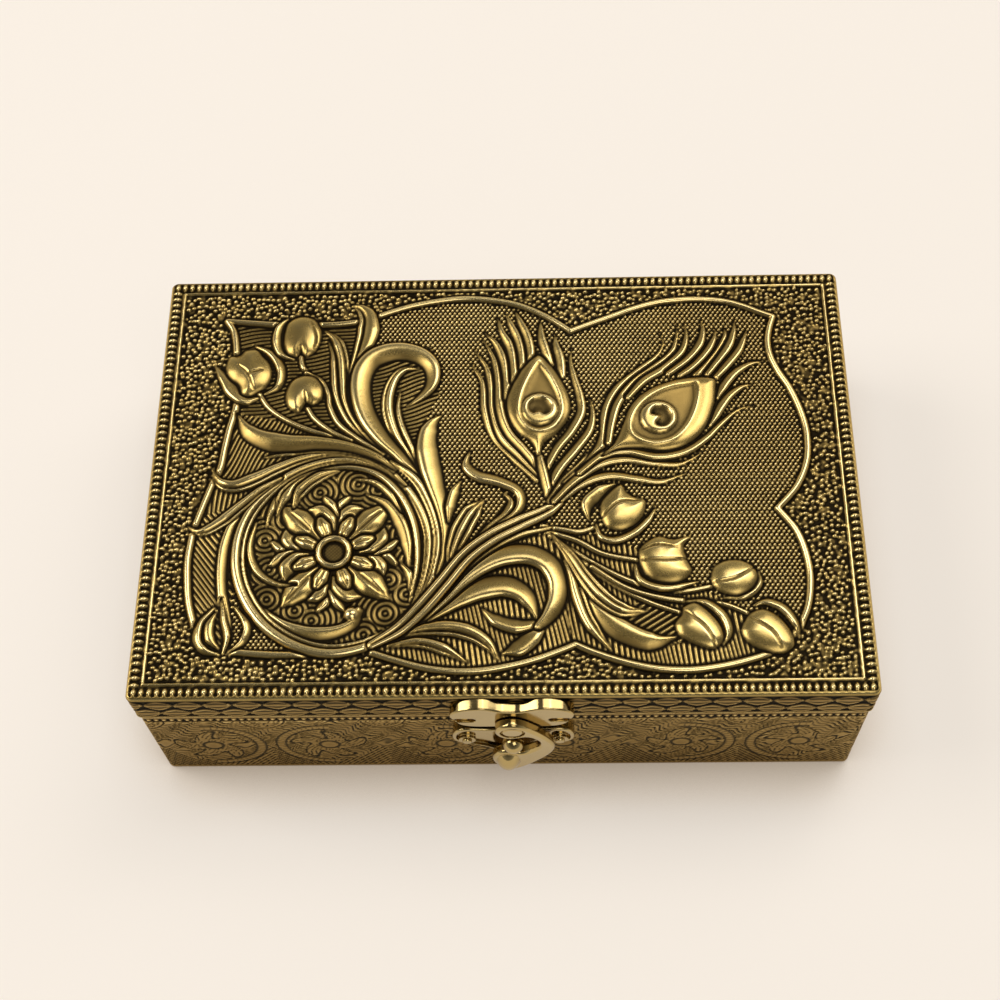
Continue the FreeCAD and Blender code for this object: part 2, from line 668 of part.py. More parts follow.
def keeper_plate():
    """The clasp's lower plate, on the body: a raised rim round a shallow pocket that holds the stud."""
    outline = plate_outline(keeper_shares, keeper_top, keeper_height)
    plate = rounded(frontal(outline, front_face, keeper_depth), plate_edge_round, flush_at(keeper_face))
    inner = plate_outline(keeper_shares, keeper_top, keeper_height, keeper_rim)
    pocket = frontal(inner, keeper_face + keeper_pocket, keeper_pocket + overrun)
    for spot in nail_spots(keeper_nail_z, keeper_face):
        behind = spot + Vector(0, keeper_depth, 0)
        pocket = pocket.cut(rod(nail_head_radius + keeper_rim, spot - Vector(0, overrun, 0), behind))
    plate = plate.cut(pocket)
    for spot in nail_spots(keeper_nail_z, keeper_face):
        plate = plate.cut(nail_hole(spot))
    foot = Vector(clasp_offset, front_face, stud_z)
    return plate.cut(rod(stud_neck_radius + slip, foot, foot - Vector(0, keeper_depth, 0)))


def keeper_stud():
    """The ball-headed stud that the hook goes round: a foot through the keeper plate, a neck and a ball."""
    foot = Vector(clasp_offset, front_face, stud_z)
    ball = Vector(clasp_offset, hook_front + stud_lead, stud_z)
    return rod(stud_neck_radius, foot, ball).fuse(Part.makeSphere(stud_ball_radius, ball)).removeSplitter()


def swing_hook():
    """The clasp's hook: a dished eye on the rivet, a band that sweeps round the stud and a thumb grip."""
    turn = [math.radians(eye_start - eye_turn * i / eye_points) for i in range(eye_points + 1)]
    points = [(clasp_offset + eye_radius * math.cos(t), pivot_z + eye_radius * math.sin(t)) for t in turn]
    points += [(clasp_offset + sx * hook_reach, pivot_z - sz * hook_drop) for sx, sz in hook_shares]
    hook = rounded(frontal(points, hook_back, hook_thickness), hook_edge_round, flush_at(hook_front))
    stretch = FreeCAD.Matrix()
    stretch.scale(grip_width / 2, hook_thickness + grip_proud, grip_height / 2)
    centre = Vector(clasp_offset - grip_offset, hook_back, pivot_z - grip_drop)
    grip = Part.makeSphere(1).transformGeometry(stretch).translated(centre)
    behind = block(centre.x - grip_width, centre.x + grip_width, hook_back, hook_back + 2 * grip_width,
                   centre.z - grip_height, centre.z + grip_height)
    hook = hook.fuse(grip.cut(behind))
    eye = Vector(clasp_offset, hook_front, pivot_z)
    dish = rod(eye_dish_radius, eye - Vector(0, overrun, 0), eye + Vector(0, eye_dish, 0))
    bore = rod(rivet_radius + running, eye, eye + Vector(0, hook_thickness + overrun, 0))
    return hook.cut(dish).cut(bore)


def clasp_rivet():
    """The rivet that the hook turns on: a domed head in the eye's dish, a tail spread behind the plate."""
    centre = Vector(clasp_offset, lid_front_face, pivot_z)
    shoulder = Vector(clasp_offset, hook_front + eye_dish - slip, pivot_z)
    shank = rod(rivet_radius, centre, shoulder)
    head = rod(rivet_head_radius, shoulder, shoulder - Vector(0, rivet_head, 0))
    head = rounded(head, rivet_head - slip, flush_at(shoulder.y - rivet_head))
    tail = rod(rivet_tail_radius, centre - Vector(0, rivet_tail, 0), centre)
    return shank.fuse([head, tail]).removeSplitter()


def clasp():
    """The swing-hook clasp: two nailed plates, a stud on the lower and a hook riveted to the upper."""
    return {
        "hook_plate": hook_plate(),
        "hook_plate_nails": Part.makeCompound([nail(s) for s in nail_spots(hook_plate_nail_z, slot_floor)]),
        "clasp_rivet": clasp_rivet(),
        "swing_hook": swing_hook(),
        "keeper_plate": keeper_plate(),
        "keeper_nails": Part.makeCompound([nail(s) for s in nail_spots(keeper_nail_z, keeper_face)]),
        "keeper_stud": keeper_stud(),
    }


def main():
    """Builds every piece and writes each to its own STEP file."""
    os.makedirs("parts", exist_ok=True)
    pieces = {**body_boards(), **lid_boards(), **cladding(), **linings(), **hinges(), **clasp()}
    for name, shape in pieces.items():
        if not shape.isValid():
            print("not valid:", name)
        shape.exportStep(f"parts/{name}.step")
    print(len(pieces), "pieces")


main()
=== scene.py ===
"""The embossed keepsake box, dressed: metal relief, velvet, boards, fittings, floor, light and camera."""

import json
import math

import bpy
import numpy as np
from mathutils import Matrix, Vector


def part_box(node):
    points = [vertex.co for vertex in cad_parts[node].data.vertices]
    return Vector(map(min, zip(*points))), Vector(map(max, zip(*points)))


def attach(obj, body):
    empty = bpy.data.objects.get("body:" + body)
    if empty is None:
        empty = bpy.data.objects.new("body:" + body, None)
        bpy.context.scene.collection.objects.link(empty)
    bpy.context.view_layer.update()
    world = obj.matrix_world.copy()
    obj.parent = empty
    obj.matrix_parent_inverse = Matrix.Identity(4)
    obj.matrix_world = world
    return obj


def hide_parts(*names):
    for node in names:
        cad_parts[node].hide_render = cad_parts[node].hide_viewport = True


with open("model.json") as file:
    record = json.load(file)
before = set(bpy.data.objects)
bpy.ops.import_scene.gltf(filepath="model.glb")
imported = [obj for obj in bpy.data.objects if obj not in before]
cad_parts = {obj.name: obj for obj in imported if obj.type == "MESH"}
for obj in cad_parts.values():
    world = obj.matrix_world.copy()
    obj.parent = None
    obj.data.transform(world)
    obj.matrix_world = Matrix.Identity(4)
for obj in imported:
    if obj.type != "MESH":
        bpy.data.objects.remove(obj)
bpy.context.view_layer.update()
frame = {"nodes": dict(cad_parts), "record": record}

# Ornament is drawn in millimetres and written to the meshes in metres
mm = 0.001


def box_mm(node):
    """A node's lowest and highest corner in millimetres."""
    low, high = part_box(node)
    return np.array(low) / mm, np.array(high) / mm


# Sizes read from the frame
lid_low, lid_high = box_mm("lid_top_sheet")
board_low, board_high = box_mm("lid_board")
band_foot = box_mm("lid_band")[0][2]
half_width, half_depth = lid_high[0], lid_high[1]
sheet = half_width - board_high[0]
field = board_high[2] + sheet
skirt_low = lid_low[2]

# The sheets' form
corner_radius = 1.8
edge_round = 0.7
seam_gap = 0.4
relief_step = 0.25
curve_step = 0.35
moat = 0.45
groove_floor = 0.2
ground_level = -0.25
band_relief = 0.55
body_relief = 0.34
grid_corner = corner_radius - edge_round
corner_x = half_width - edge_round - grid_corner
corner_y = half_depth - edge_round - grid_corner

# Hinge notches in the back of the two side strips
pin_boxes = [box_mm("hinge_left_pin"), box_mm("hinge_right_pin")]
notch_play = 0.3
notch_places = [(low[0] + high[0]) / 2 for low, high in pin_boxes]
notch_half = (pin_boxes[0][1][0] - pin_boxes[0][0][0]) / 2 + notch_play
hinge_level = (pin_boxes[0][0][2] + pin_boxes[0][1][2]) / 2
notch_reach = hinge_level - box_mm("hinge_left_lid_leaf")[0][2] + notch_play

seed = 7


# Sections: the height across a ridge, from -1 at its left edge to 1 at its right
def rounded(v):
    return np.sqrt(np.clip(1 - v * v, 0, 1))


def dome(v):
    return np.clip(1 - v * v, 0, 1) ** 0.62


def leaning(lean):
    """A round leaf whose crest lies off its middle."""

    def section(v):
        return rounded(v) * (1 + lean * v) / (1 + 0.3 * abs(lean))

    return section


def stranded(side):
    """A broad strand with a narrow one beside it, a groove between them."""

    def section(v):
        broad = rounded(np.clip((v + 0.26 * side) / 0.74, -1, 1))
        narrow = 0.82 * rounded(np.clip((v - 0.74 * side) / 0.27, -1, 1))
        return np.maximum(broad, narrow)

    return section


def bundled(v):
    """Three strands side by side."""
    middle = rounded(np.clip(v / 0.42, -1, 1))
    outer = 0.8 * rounded(np.clip((np.abs(v) - 0.7) / 0.31, -1, 1))
    return np.maximum(middle, outer)


def paired(v):
    """Two strands side by side."""
    return rounded(np.clip((np.abs(v) - 0.5) / 0.5, -1, 1))


def veined(v):
    """A leaf with a sunk vein along its middle."""
    return np.clip(1 - v * v, 0, 1) ** 0.55 * (1 - 0.35 * np.exp(-((v / 0.14) ** 2)))


crest_left = leaning(-0.5)
crest_right = leaning(0.5)
strand_left = stranded(-1)
strand_right = stranded(1)

def smooth_curve(points, gap=curve_step, closed=False):
    """Points along a smooth curve through the given ones."""
    p = np.array(points, float)
    ends = (p[-1], np.vstack([p[0], p[1]])) if closed else (2 * p[0] - p[1], 2 * p[-1] - p[-2])
    p = np.vstack([ends[0], p, ends[1]])
    runs = []
    for a, b, c, d in zip(p, p[1:], p[2:], p[3:]):
        count = max(2, int(np.hypot(*(c - b)) / gap))
        t = np.arange(count)[:, None] / count
        square = 2 * a - 5 * b + 4 * c - d
        cube = 3 * b - a - 3 * c + d
        runs.append(0.5 * (2 * b + (c - a) * t + square * t**2 + cube * t**3))
    runs.append(p[-2:-1])
    return np.vstack(runs)


def inside(x, y, outline):
    """True where a point lies inside a closed outline."""
    found = np.zeros(x.shape, bool)
    for (x0, y0), (x1, y1) in zip(outline, np.roll(outline, -1, axis=0)):
        if y0 == y1:
            continue
        crosses = (y0 > y) != (y1 > y)
        found ^= crosses & (x < (x1 - x0) * (y - y0) / (y1 - y0) + x0)
    return found


class Relief:
    """A pressed surface over a rectangle: z holds the height in millimetres at every grid point."""

    def __init__(self, half_x, half_y, step):
        self.step = step
        self.xs = np.linspace(-half_x, half_x, round(2 * half_x / step) + 1)
        self.ys = np.linspace(-half_y, half_y, round(2 * half_y / step) + 1)
        self.x, self.y = np.meshgrid(self.xs, self.ys)
        self.z = np.full(self.x.shape, ground_level)

    def span(self, low, high, start):
        """The rows or columns that cover a stretch, counted from a start."""
        return slice(max(int((low - start) / self.step), 0), int((high - start) / self.step) + 2)

    def window(self, x0, x1, y0, y1):
        """The part of the grid that covers a rectangle."""
        return self.span(y0, y1, self.ys[0]), self.span(x0, x1, self.xs[0])

    def around(self, line, reach):
        """The part of the grid that covers a curve with a margin."""
        (x0, y0), (x1, y1) = line.min(axis=0) - reach, line.max(axis=0) + reach
        return self.window(x0, x1, y0, y1)

    def bump(self, x, y, radius_x, radius_y, rise):
        """One round bead, set on what lies under it."""
        spot = self.window(x - radius_x, x + radius_x, y - radius_y, y + radius_y)
        far = ((self.x[spot] - x) / radius_x) ** 2 + ((self.y[spot] - y) / radius_y) ** 2
        top = ground_level + rise * np.sqrt(np.clip(1 - far, 0, 1))
        self.z[spot] = np.maximum(self.z[spot], top)

    def chase(self, area, covered, level, beyond):
        """Sets a form on its ground, with a groove beside it that fades out over the moat."""
        z = self.z[area]
        fade = np.clip(beyond / moat, 0, 1)
        share = groove_floor + (1 - groove_floor) * fade * fade * (3 - 2 * fade)
        groove = ground_level + (z - ground_level) * share
        z[:] = np.where(covered, ground_level + level, np.where(beyond < moat, groove, z))

    def stroke(self, points, widths, rise, section, way="over", low=0.3):
        """A ridge along a curve: over its ground with a groove beside it, or joined or added to it."""
        line = smooth_curve(points)
        heading = np.gradient(line, axis=0)
        heading /= np.maximum(np.hypot(heading[:, 0], heading[:, 1]), 1e-9)[:, None]
        run = np.concatenate([[0], np.cumsum(np.hypot(*np.diff(line, axis=0).T))])
        half = np.interp(run / run[-1], np.linspace(0, 1, len(widths)), widths) / 2
        least_half = 0.05
        area = self.around(line, half.max() + moat)
        x, y = self.x[area], self.y[area]
        beyond = np.full(x.shape, np.inf)
        across = np.zeros(x.shape)
        fullness = np.zeros(x.shape)
        for (px, py), (tx, ty), w in zip(line, heading, half):
            near = w + moat + 2 * curve_step
            part = self.span(py - near, py + near, y[0, 0]), self.span(px - near, px + near, x[0, 0])
            dx, dy = x[part] - px, y[part] - py
            far = np.hypot(dx, dy)
            closer = far - w < beyond[part]
            side = np.sign(tx * dy - ty * dx) * far / max(w, least_half)
            beyond[part] = np.where(closer, far - w, beyond[part])
            across[part] = np.where(closer, side, across[part])
            fullness[part] = np.where(closer, w / half.max(), fullness[part])
        level = rise * (low + (1 - low) * fullness) * section(np.clip(across, -1, 1))
        covered = beyond < 0
        if way == "over":
            self.chase(area, covered, level, beyond)
            return
        z = self.z[area]
        joined = z + level if way == "add" else np.maximum(z, ground_level + level)
        z[:] = np.where(covered, joined, z)

    def blob(self, outline, rise, swell=9.0, way="over"):
        """A swelling form inside a closed outline: over its ground, or added to it."""
        line = smooth_curve(outline, closed=True)
        area = self.around(line, moat)
        x, y = self.x[area], self.y[area]
        far = np.min([np.hypot(x - px, y - py) for px, py in line], axis=0)
        within = inside(x, y, line)
        share = np.clip(far / min(swell, far[within].max()), 0, 1)
        level = rise * np.sqrt(1 - (1 - share) ** 2)
        if way == "over":
            self.chase(area, within, level, far)
            return
        z = self.z[area]
        z[:] = np.where(within, z + level, z)


# The lid's ornament, in millimetres from the lid's middle, x to the right and y to the back
frame_runs = [
    [(-72.9, 47.1), (-66, 46.4), (-59.6, 45.8), (-52, 45.6), (-44, 45.6), (-37.1, 46.4)],
    [(-34, 47.4), (-29.5, 49.2), (-23.7, 51.1), (-17, 52.5), (-10.3, 53.2), (-3.7, 52.7), (3, 51.3),
     (8, 49.2), (13, 46.2), (18, 42.4)],
    [(18, 42.4), (22.5, 44.3), (28.3, 46.6), (35, 49.3), (40.8, 51), (45.8, 51.7), (51.7, 51.9), (58.3, 51.2),
     (63.3, 49.6), (67.5, 47.6), (71.2, 46)],
    [(71.2, 46), (69.9, 42), (69.3, 38), (69.7, 33.8), (71.3, 29.2), (73.8, 24.2), (75.8, 18.3), (76.9, 13.3),
     (77.2, 9.2), (76.8, 4), (75.5, -0.5), (73.4, -4.7), (70.8, -8), (68.2, -10.8)],
    [(68.2, -10.8), (70.4, -13.8), (72.5, -17.2), (74, -22.2), (74.7, -28), (74.4, -33), (73.3, -38),
     (71, -43)],
    [(71, -43), (67, -47), (63, -49.5), (57.5, -51.3), (51.7, -52.6), (45, -53.4), (37.5, -53.1), (30, -51.5),
     (22.5, -48.9), (17.7, -46.7)],
    [(17.7, -46.7), (14.7, -48), (8, -50.5), (1.3, -52.2), (-5.3, -53.2), (-12, -53.2), (-18.7, -52.2),
     (-25.3, -50.3), (-30.8, -48.4)],
    [(-45, -48.6), (-51.7, -48.7), (-58, -48.4), (-66, -47.6)],
    [(-72.5, -44), (-74.4, -40), (-76, -34.5), (-76.8, -29), (-77.2, -23), (-76.7, -16.3)],
    [(-76.1, -13.4), (-74.6, -8), (-72.9, -2.2), (-71.2, 2.5), (-70.6, 8), (-69.8, 14), (-68.6, 20.8),
     (-68.9, 28), (-69.6, 36), (-70.8, 43.3), (-72.9, 47.1)],
]
frame_widths = [2.0, 2.2, 2.0]
frame_rise = 1.2

# Hatched fields in the frame: the lean of their lines in degrees, or None for chevrons. The rest is dotted
hatch_fields = [
    (8, [(-74, 49), (-36, 48), (-33, 30), (-36, 12), (-52, 11), (-70, 17)]),
    (64, [(-73, 20), (-40, 12), (-30, 4), (-56, 2.2), (-62.2, -0.8), (-73, -1)]),
    (88, [(-73, -1), (-62.2, -0.8), (-56, 2.2), (-55, -2), (-64, -8), (-78, -14)]),
    (-52, [(-79, -12), (-64, -8), (-65, -30), (-66, -46), (-74, -46)]),
    (18, [(-37, 12), (-37, 38), (-18, 38), (-16, 24), (-24, 4)]),
    (101, [(-30, -47), (-16, -30), (-3, -19), (14, -17), (19, -46), (4, -54), (-16, -54)]),
    (99, [(14, -17), (22, -17.5), (33, -21), (34, -26), (52, -34), (61, -41), (66, -50), (45, -55),
          (17, -48)]),
    (None, [(27, -39.5), (33.5, -35.5), (44, -38), (45, -46), (40, -47), (33, -47)]),
]
medallion = (-40.9, -21.6)
medallion_radius = 24.0
scale_spots = [
    (-45.5, -4.7), (-58.5, -18), (-57, -26), (-57, -34), (-45.8, -39.7), (-27.5, -29), (-28, -38),
    (-33, -43.5), (-36, -2.5), (-27.5, -9), (-23, -17), (-22, -24), (-53, -12), (-50, -37), (-23, -33),
    (-52, -19.5), (-31, -4),
]

# Leaves and scrolls, from the lowest to the topmost: section, rise, widths from end to end, points to follow
scrolls = [
    # Medallion: left strands, inner leaves, the round scroll and its right strands
    (crest_left, 1.2, [1.5, 2.6, 3.0, 3.0, 2.8, 2.6, 1.2],
     [(-54, -0.5), (-60, -4.6), (-65.4, -11), (-68, -18), (-68.6, -25), (-68, -32), (-66.7, -38),
      (-65.4, -44), (-66.5, -47.8)]),
    (crest_right, 1.0, [0.6, 2.4, 2.2, 0.5], [(-50.5, -0.8), (-55.5, -5.3), (-57.8, -10.5), (-58.4, -14.4)]),
    (strand_left, 1.1, [1.0, 3.4, 3.8, 0.6], [(-45.6, 1.8), (-51, -1.8), (-54.6, -6), (-56, -11)]),
    (strand_right, 1.1, [1.0, 3.2, 3.6, 0.6], [(-40.6, 1.8), (-46.4, -0.6), (-50.6, -4.6), (-52, -9.4)]),
    (crest_left, 1.0, [0.6, 1.8, 2.2, 1.8, 0.5],
     [(-61, -13), (-62, -20), (-60, -26), (-55.5, -29.6), (-50, -30.4)]),
    (crest_right, 1.05, [0.4, 2.6, 3.6, 3.2, 0.6],
     [(-34, -5.4), (-28.6, -8.4), (-25.2, -13.4), (-23.4, -19), (-22.6, -25.5)]),
    (crest_right, 1.0, [0.4, 1.8, 2.0, 0.5], [(-37, -1), (-32, -2.2), (-28, -5.6), (-25, -10.6)]),
    (crest_right, 1.0, [0.4, 2.2, 2.4, 0.6], [(-24.6, -24.6), (-22.4, -28), (-21.6, -31.6), (-22.2, -35)]),
    (crest_right, 1.4, [0.5, 2.4, 3.6, 4.2, 4.0, 3.2, 2.4],
     [(-62, -31), (-58.6, -36.8), (-53.4, -41), (-47, -43.2), (-40.5, -43), (-35.8, -40.8), (-34.4, -37.4)]),
    (strand_left, 1.5, [2.4, 3.2, 3.8, 4.0, 4.0, 3.8, 3.4, 2.8, 2.2, 2.0, 2.4, 2.4, 2.2, 1.2],
     [(-20.3, -36.5), (-27, -43.4), (-34, -46.9), (-42, -47.9), (-50, -45.5), (-57, -40.5), (-62, -33.5),
      (-64.6, -26), (-64.8, -18), (-62.8, -11), (-58.8, -5), (-53.5, 0), (-47, 3.2), (-40, 4.4), (-33, 3.2),
      (-27, -0.6), (-22.4, -6), (-19.4, -12), (-18, -18), (-18.2, -25), (-19.4, -31), (-21.5, -37)]),
    (crest_left, 1.3, [0.4, 1.6, 2.0, 2.2, 2.2, 2.0, 1.6, 0.8],
     [(-46, 2), (-38, 2.4), (-31, 0.2), (-25.4, -5.4), (-22, -12.4), (-20.6, -19.6), (-20.6, -26.6),
      (-21.8, -33)]),
    # Leaves at the left
    (strand_left, 1.35, [0.4, 2.8, 3.6, 3.2, 2.6, 1.2],
     [(-78.3, -13.8), (-74.8, -15.6), (-70, -13), (-65, -8.4), (-60.6, -4.2), (-55.5, -0.6)]),
    (strand_left, 1.4, [0.4, 3.4, 4.2, 3.4, 2.8, 2.4, 2.2, 2.0, 1.8, 1.0],
     [(-73.3, 2.4), (-71.2, -1.4), (-67.4, -2.7), (-62.2, -0.8), (-56.6, 2.2), (-50, 5), (-43, 6.4),
      (-36, 5.6), (-29.4, 2.4), (-24, -3)]),
    (crest_left, 1.1, [0.4, 1.6, 1.8, 1.6, 1.4, 1.0],
     [(-61, 5.4), (-54, 6.6), (-47, 7.4), (-40, 7.2), (-33, 5.2), (-27, 1)]),
    (crest_right, 1.5, [0.4, 4.6, 6.0, 5.2, 4.0, 3.0, 2.2, 1.4],
     [(-68.2, 18.4), (-65, 13.2), (-60, 10.4), (-54, 9.4), (-47, 9.4), (-39.5, 8.4), (-32.5, 5.8),
      (-26.5, 1.6)]),
    # Bud at the lower left
    (crest_right, 1.25, [0.6, 2.2, 2.6, 2.4, 0.8],
     [(-69.6, -36), (-72.6, -40.4), (-73.2, -44.4), (-71.2, -47.4), (-67.4, -48.6)]),
    (dome, 1.1, [0.6, 2.8, 3.0, 0.8], [(-69.2, -37.6), (-70.4, -41), (-70, -44.4), (-67.8, -46.8)]),
    (crest_left, 1.2, [0.8, 2.4, 2.4, 0.6], [(-64.4, -36), (-61.2, -40.8), (-61.8, -45), (-65.2, -48)]),
    (crest_right, 1.25, [0.6, 1.8, 2.2, 0.8], [(-68, -34), (-67.2, -39.4), (-66, -44), (-66.6, -48.2)]),
    # Leaves round the upper curl
    (strand_right, 1.1, [0.4, 2.4, 2.6, 2.4, 2.0, 1.0],
     [(-45.6, 40.2), (-44, 36), (-43.4, 30.4), (-42.6, 24), (-39.6, 16.6), (-34.5, 10.6)]),
    (strand_right, 1.2, [0.4, 3.2, 3.2, 2.8, 2.4, 2.2, 2.0, 1.0],
     [(-47, 44), (-43.6, 40.6), (-41.7, 35), (-41, 28.3), (-40.2, 22), (-37, 15.4), (-32, 9.5), (-27.6, 5)]),
    (strand_left, 1.45, [0.4, 4.6, 6.2, 5.2, 3.8, 3.0, 2.6, 2.2, 1.2],
     [(-40.2, 51.6), (-37.4, 50.6), (-35.4, 47.6), (-35.2, 43), (-36.4, 37.6), (-38, 32), (-38.8, 26),
      (-38, 20), (-35, 13.5)]),
    (crest_right, 1.15, [0.5, 1.8, 2.2, 2.0, 1.0],
     [(-26.4, 24.4), (-26.8, 19), (-25.6, 13.5), (-23.2, 8), (-20.6, 2)]),
    (strand_left, 1.35, [0.4, 2.4, 3.0, 3.2, 3.0, 2.6, 2.2, 1.0],
     [(-21.6, 31.4), (-24.8, 31.4), (-27.4, 29.2), (-29, 25), (-29.4, 20), (-28.2, 14.5), (-25.6, 8.6),
      (-21.8, 2)]),
    (crest_right, 1.7, [1.8, 3.0, 3.8, 4.8, 5.4, 5.6, 5.8, 6.0, 6.0, 5.8, 5.4, 4.8, 3.8, 2.4, 0.4],
     [(-21.2, -0.5), (-25.8, 5.6), (-30.8, 11.2), (-34.6, 17.2), (-36.4, 23.5), (-36.4, 29.5), (-34.4, 33.8),
      (-30.8, 36.2), (-26, 36.8), (-21.4, 35.4), (-18.6, 32.6), (-17.8, 29), (-18.6, 25.6), (-21, 22.8),
      (-24.6, 20)]),
    # Right strands of the medallion and the tall leaf
    (strand_left, 1.45, [0.8, 2.4, 3.0, 3.0, 2.8, 2.4, 1.2],
     [(-28, 4), (-21.8, -1.4), (-18, -8), (-15.8, -15), (-15.6, -22), (-17, -29), (-19.8, -35)]),
    (crest_left, 1.55, [0.4, 4.8, 6.0, 5.8, 4.6, 3.4, 2.6, 2.0, 1.2],
     [(-15.3, 17.4), (-18, 14.2), (-19, 9.5), (-18.4, 4), (-16.8, -2.5), (-15, -9), (-13.8, -16), (-14, -22),
      (-15.6, -28)]),
    # Small leaves in the middle
    (crest_left, 1.1, [0.3, 3.0, 3.0, 1.0], [(-10, -1.6), (-11.6, -5), (-12.6, -9), (-13, -13.5)]),
    (bundled, 1.3, [0.3, 5.2, 5.6, 4.0, 1.2],
     [(-4.3, -7.2), (-7.4, -11), (-9.8, -15.6), (-11.6, -20.6), (-12.8, -26)]),
    (crest_right, 1.15, [0.4, 2.6, 2.8, 2.2, 1.0],
     [(0.4, -5.4), (2.2, -8), (1, -11.6), (-3, -15.4), (-8.5, -21)]),
    (crest_left, 1.35, [0.3, 3.0, 3.6, 3.2, 2.8, 2.6, 2.2, 1.8, 1.0],
     [(-8, 6.8), (-8.8, 2.4), (-6, -0.6), (-0.8, -2.2), (3.8, -4.6), (5, -8), (3.4, -11.8), (-1.6, -15.6),
      (-7.4, -21)]),
    # Leaves under the lower scroll
    (strand_left, 1.25, [1.0, 2.8, 3.2, 0.4], [(-27, -46.6), (-20, -45.8), (-14, -47.4), (-8, -51)]),
    (strand_left, 1.3, [1.0, 3.0, 4.2, 4.4, 3.4, 0.4],
     [(-24.5, -44), (-18.7, -42.4), (-12, -42.2), (-6.6, -43.8), (-2.8, -46.8), (-0.8, -50.4)]),
    # Lower scroll: its tail, lobes and round back
    (crest_right, 1.3, [3.0, 5.0, 4.6, 0.4], [(9.4, -41), (7.6, -44.2), (4.6, -47.2), (0.2, -48.8)]),
    (crest_left, 1.3, [0.4, 3.6, 4.2, 2.4], [(-4.6, -37), (-1.2, -40.2), (3.6, -41.8), (8.4, -41.2)]),
    (crest_left, 1.5, [1.2, 4.0, 5.8, 6.4, 6.0, 4.6, 1.0],
     [(-17.6, -40), (-11, -34.8), (-5.2, -32), (0.4, -31.2), (4.6, -32.8), (7.2, -36), (8.6, -39.6)]),
    (crest_left, 1.7, [1.8, 3.4, 4.6, 5.4, 5.8, 6.0, 5.8, 5.6, 5.2, 4.4, 2.4],
     [(-20, -40.4), (-14.4, -34.6), (-9.4, -29), (-4.2, -25), (1.3, -22.9), (7, -22.9), (11.4, -25.4),
      (13.6, -30), (13.4, -35), (11.6, -39), (9, -42)]),
    (crest_left, 1.3, [1.0, 2.0, 2.2, 2.2, 2.0, 1.0],
     [(12, -15.6), (4.5, -17.6), (-2.4, -21), (-8.6, -26.4), (-14.2, -33.4), (-19.6, -39.6)]),
    # Leaves at the right
    (crest_right, 1.5, [0.6, 1.4, 2.4, 4.8, 6.0, 5.2, 0.4],
     [(14.2, -19), (17, -26.2), (20.6, -34.2), (25.6, -40.8), (31.2, -44.6), (36.6, -46.2), (41.9, -45)]),
    (strand_right, 1.3, [0.8, 2.8, 3.6, 3.2, 0.4],
     [(14.5, -20), (17, -27), (18.6, -34), (21.2, -41.2), (26.4, -48.6)]),
    (bundled, 1.4, [0.8, 2.8, 3.8, 4.6, 4.2, 0.4],
     [(12.5, -17.5), (16.6, -23), (20.4, -29.4), (24.6, -34.8), (29.4, -38), (35.2, -38.2)]),
    # Trunk
    (paired, 1.6, [0.4, 3.6, 4.4, 4.6, 4.6, 4.6, 4.6, 3.8, 2.4],
     [(17.6, -5), (12.4, -10.2), (5, -14), (-2, -17.8), (-8.6, -23.2), (-14.2, -30.6), (-19.4, -37.2),
      (-24.5, -42.4), (-31, -46.4)]),
]

# Thin flower stems
stems = [
    [(-62.9, 24.4), (-60, 20), (-55, 16.2), (-48.3, 13), (-41.7, 10.8), (-33.3, 6.8)],
    [(-52.8, 36.2), (-52, 32.4), (-50, 30.2)],
    [(-51, 30.6), (-47.2, 28.2), (-45, 24.4), (-44.2, 20), (-41.7, 15), (-36.6, 10.6), (-30, 6)],
    [(-50, 19.8), (-48, 16.6), (-43.8, 13), (-38.3, 10)],
    [(10, -15), (15, -16), (19.6, -16.6), (25, -14.6)],
    [(10, -16.2), (18.3, -19), (25, -22.8), (34.4, -24.8)],
    [(12, -17.6), (21, -24.4), (30, -29.6), (37, -32), (44, -33), (51.8, -31.6)],
    [(13, -19), (21, -26), (28.4, -31.6), (35.5, -35.8), (43.8, -39)],
    [(22, -26.2), (30, -31.8), (38, -34.6), (46, -35.8), (53.6, -36.6), (59.8, -39.4)],
]
stem_widths = [1.4, 1.6, 1.3]
stem_rise = 1.05

# Tulips: widths and points of each sepal and petal, in the order they overlap
sepals = [
    ([0.4, 3.2, 4.2, 3.8, 1.4], [(-75, 33.2), (-72, 28.8), (-69.6, 25), (-66.4, 22.6), (-63.4, 23.2)]),
    ([0.6, 2.4, 2.8, 2.4, 0.8], [(-65, 39.4), (-60.4, 36.6), (-57.6, 31.6), (-58, 26.6), (-61.4, 24.2)]),
    ([0.4, 2.4, 2.8, 2.4, 1.0], [(-56.7, 48), (-59, 44.4), (-59.2, 40), (-57.8, 36.6), (-54.6, 35)]),
    ([0.4, 4.2, 3.8, 0.6], [(28.6, -3.2), (24.4, -6), (21.4, -9), (21.6, -13.4)]),
    ([0.8, 2.2, 2.6, 2.6, 2.2, 0.4],
     [(23.4, -14.6), (24.6, -18), (28, -19), (32.4, -17.2), (36, -13.8), (38.2, -10.2)]),
    ([0.6, 2.4, 2.8, 2.4, 0.4], [(32.6, -25.5), (33.8, -29.8), (38, -31.8), (43, -31.6), (47.8, -30.4)]),
    ([0.6, 2.2, 2.4, 0.6], [(62.4, -27.8), (62.4, -31.4), (59, -34.4), (53.6, -35)]),
    ([0.8, 2.4, 2.8, 2.4, 0.8], [(44.6, -35.6), (49.4, -36.2), (53.2, -39.6), (54.4, -44), (52.8, -47)]),
    ([0.6, 2.4, 2.8, 2.4, 0.6], [(60.4, -37), (63.6, -36), (67.6, -37.8), (70.4, -42), (70.8, -45.4)]),
]
sepal_rise = 1.3
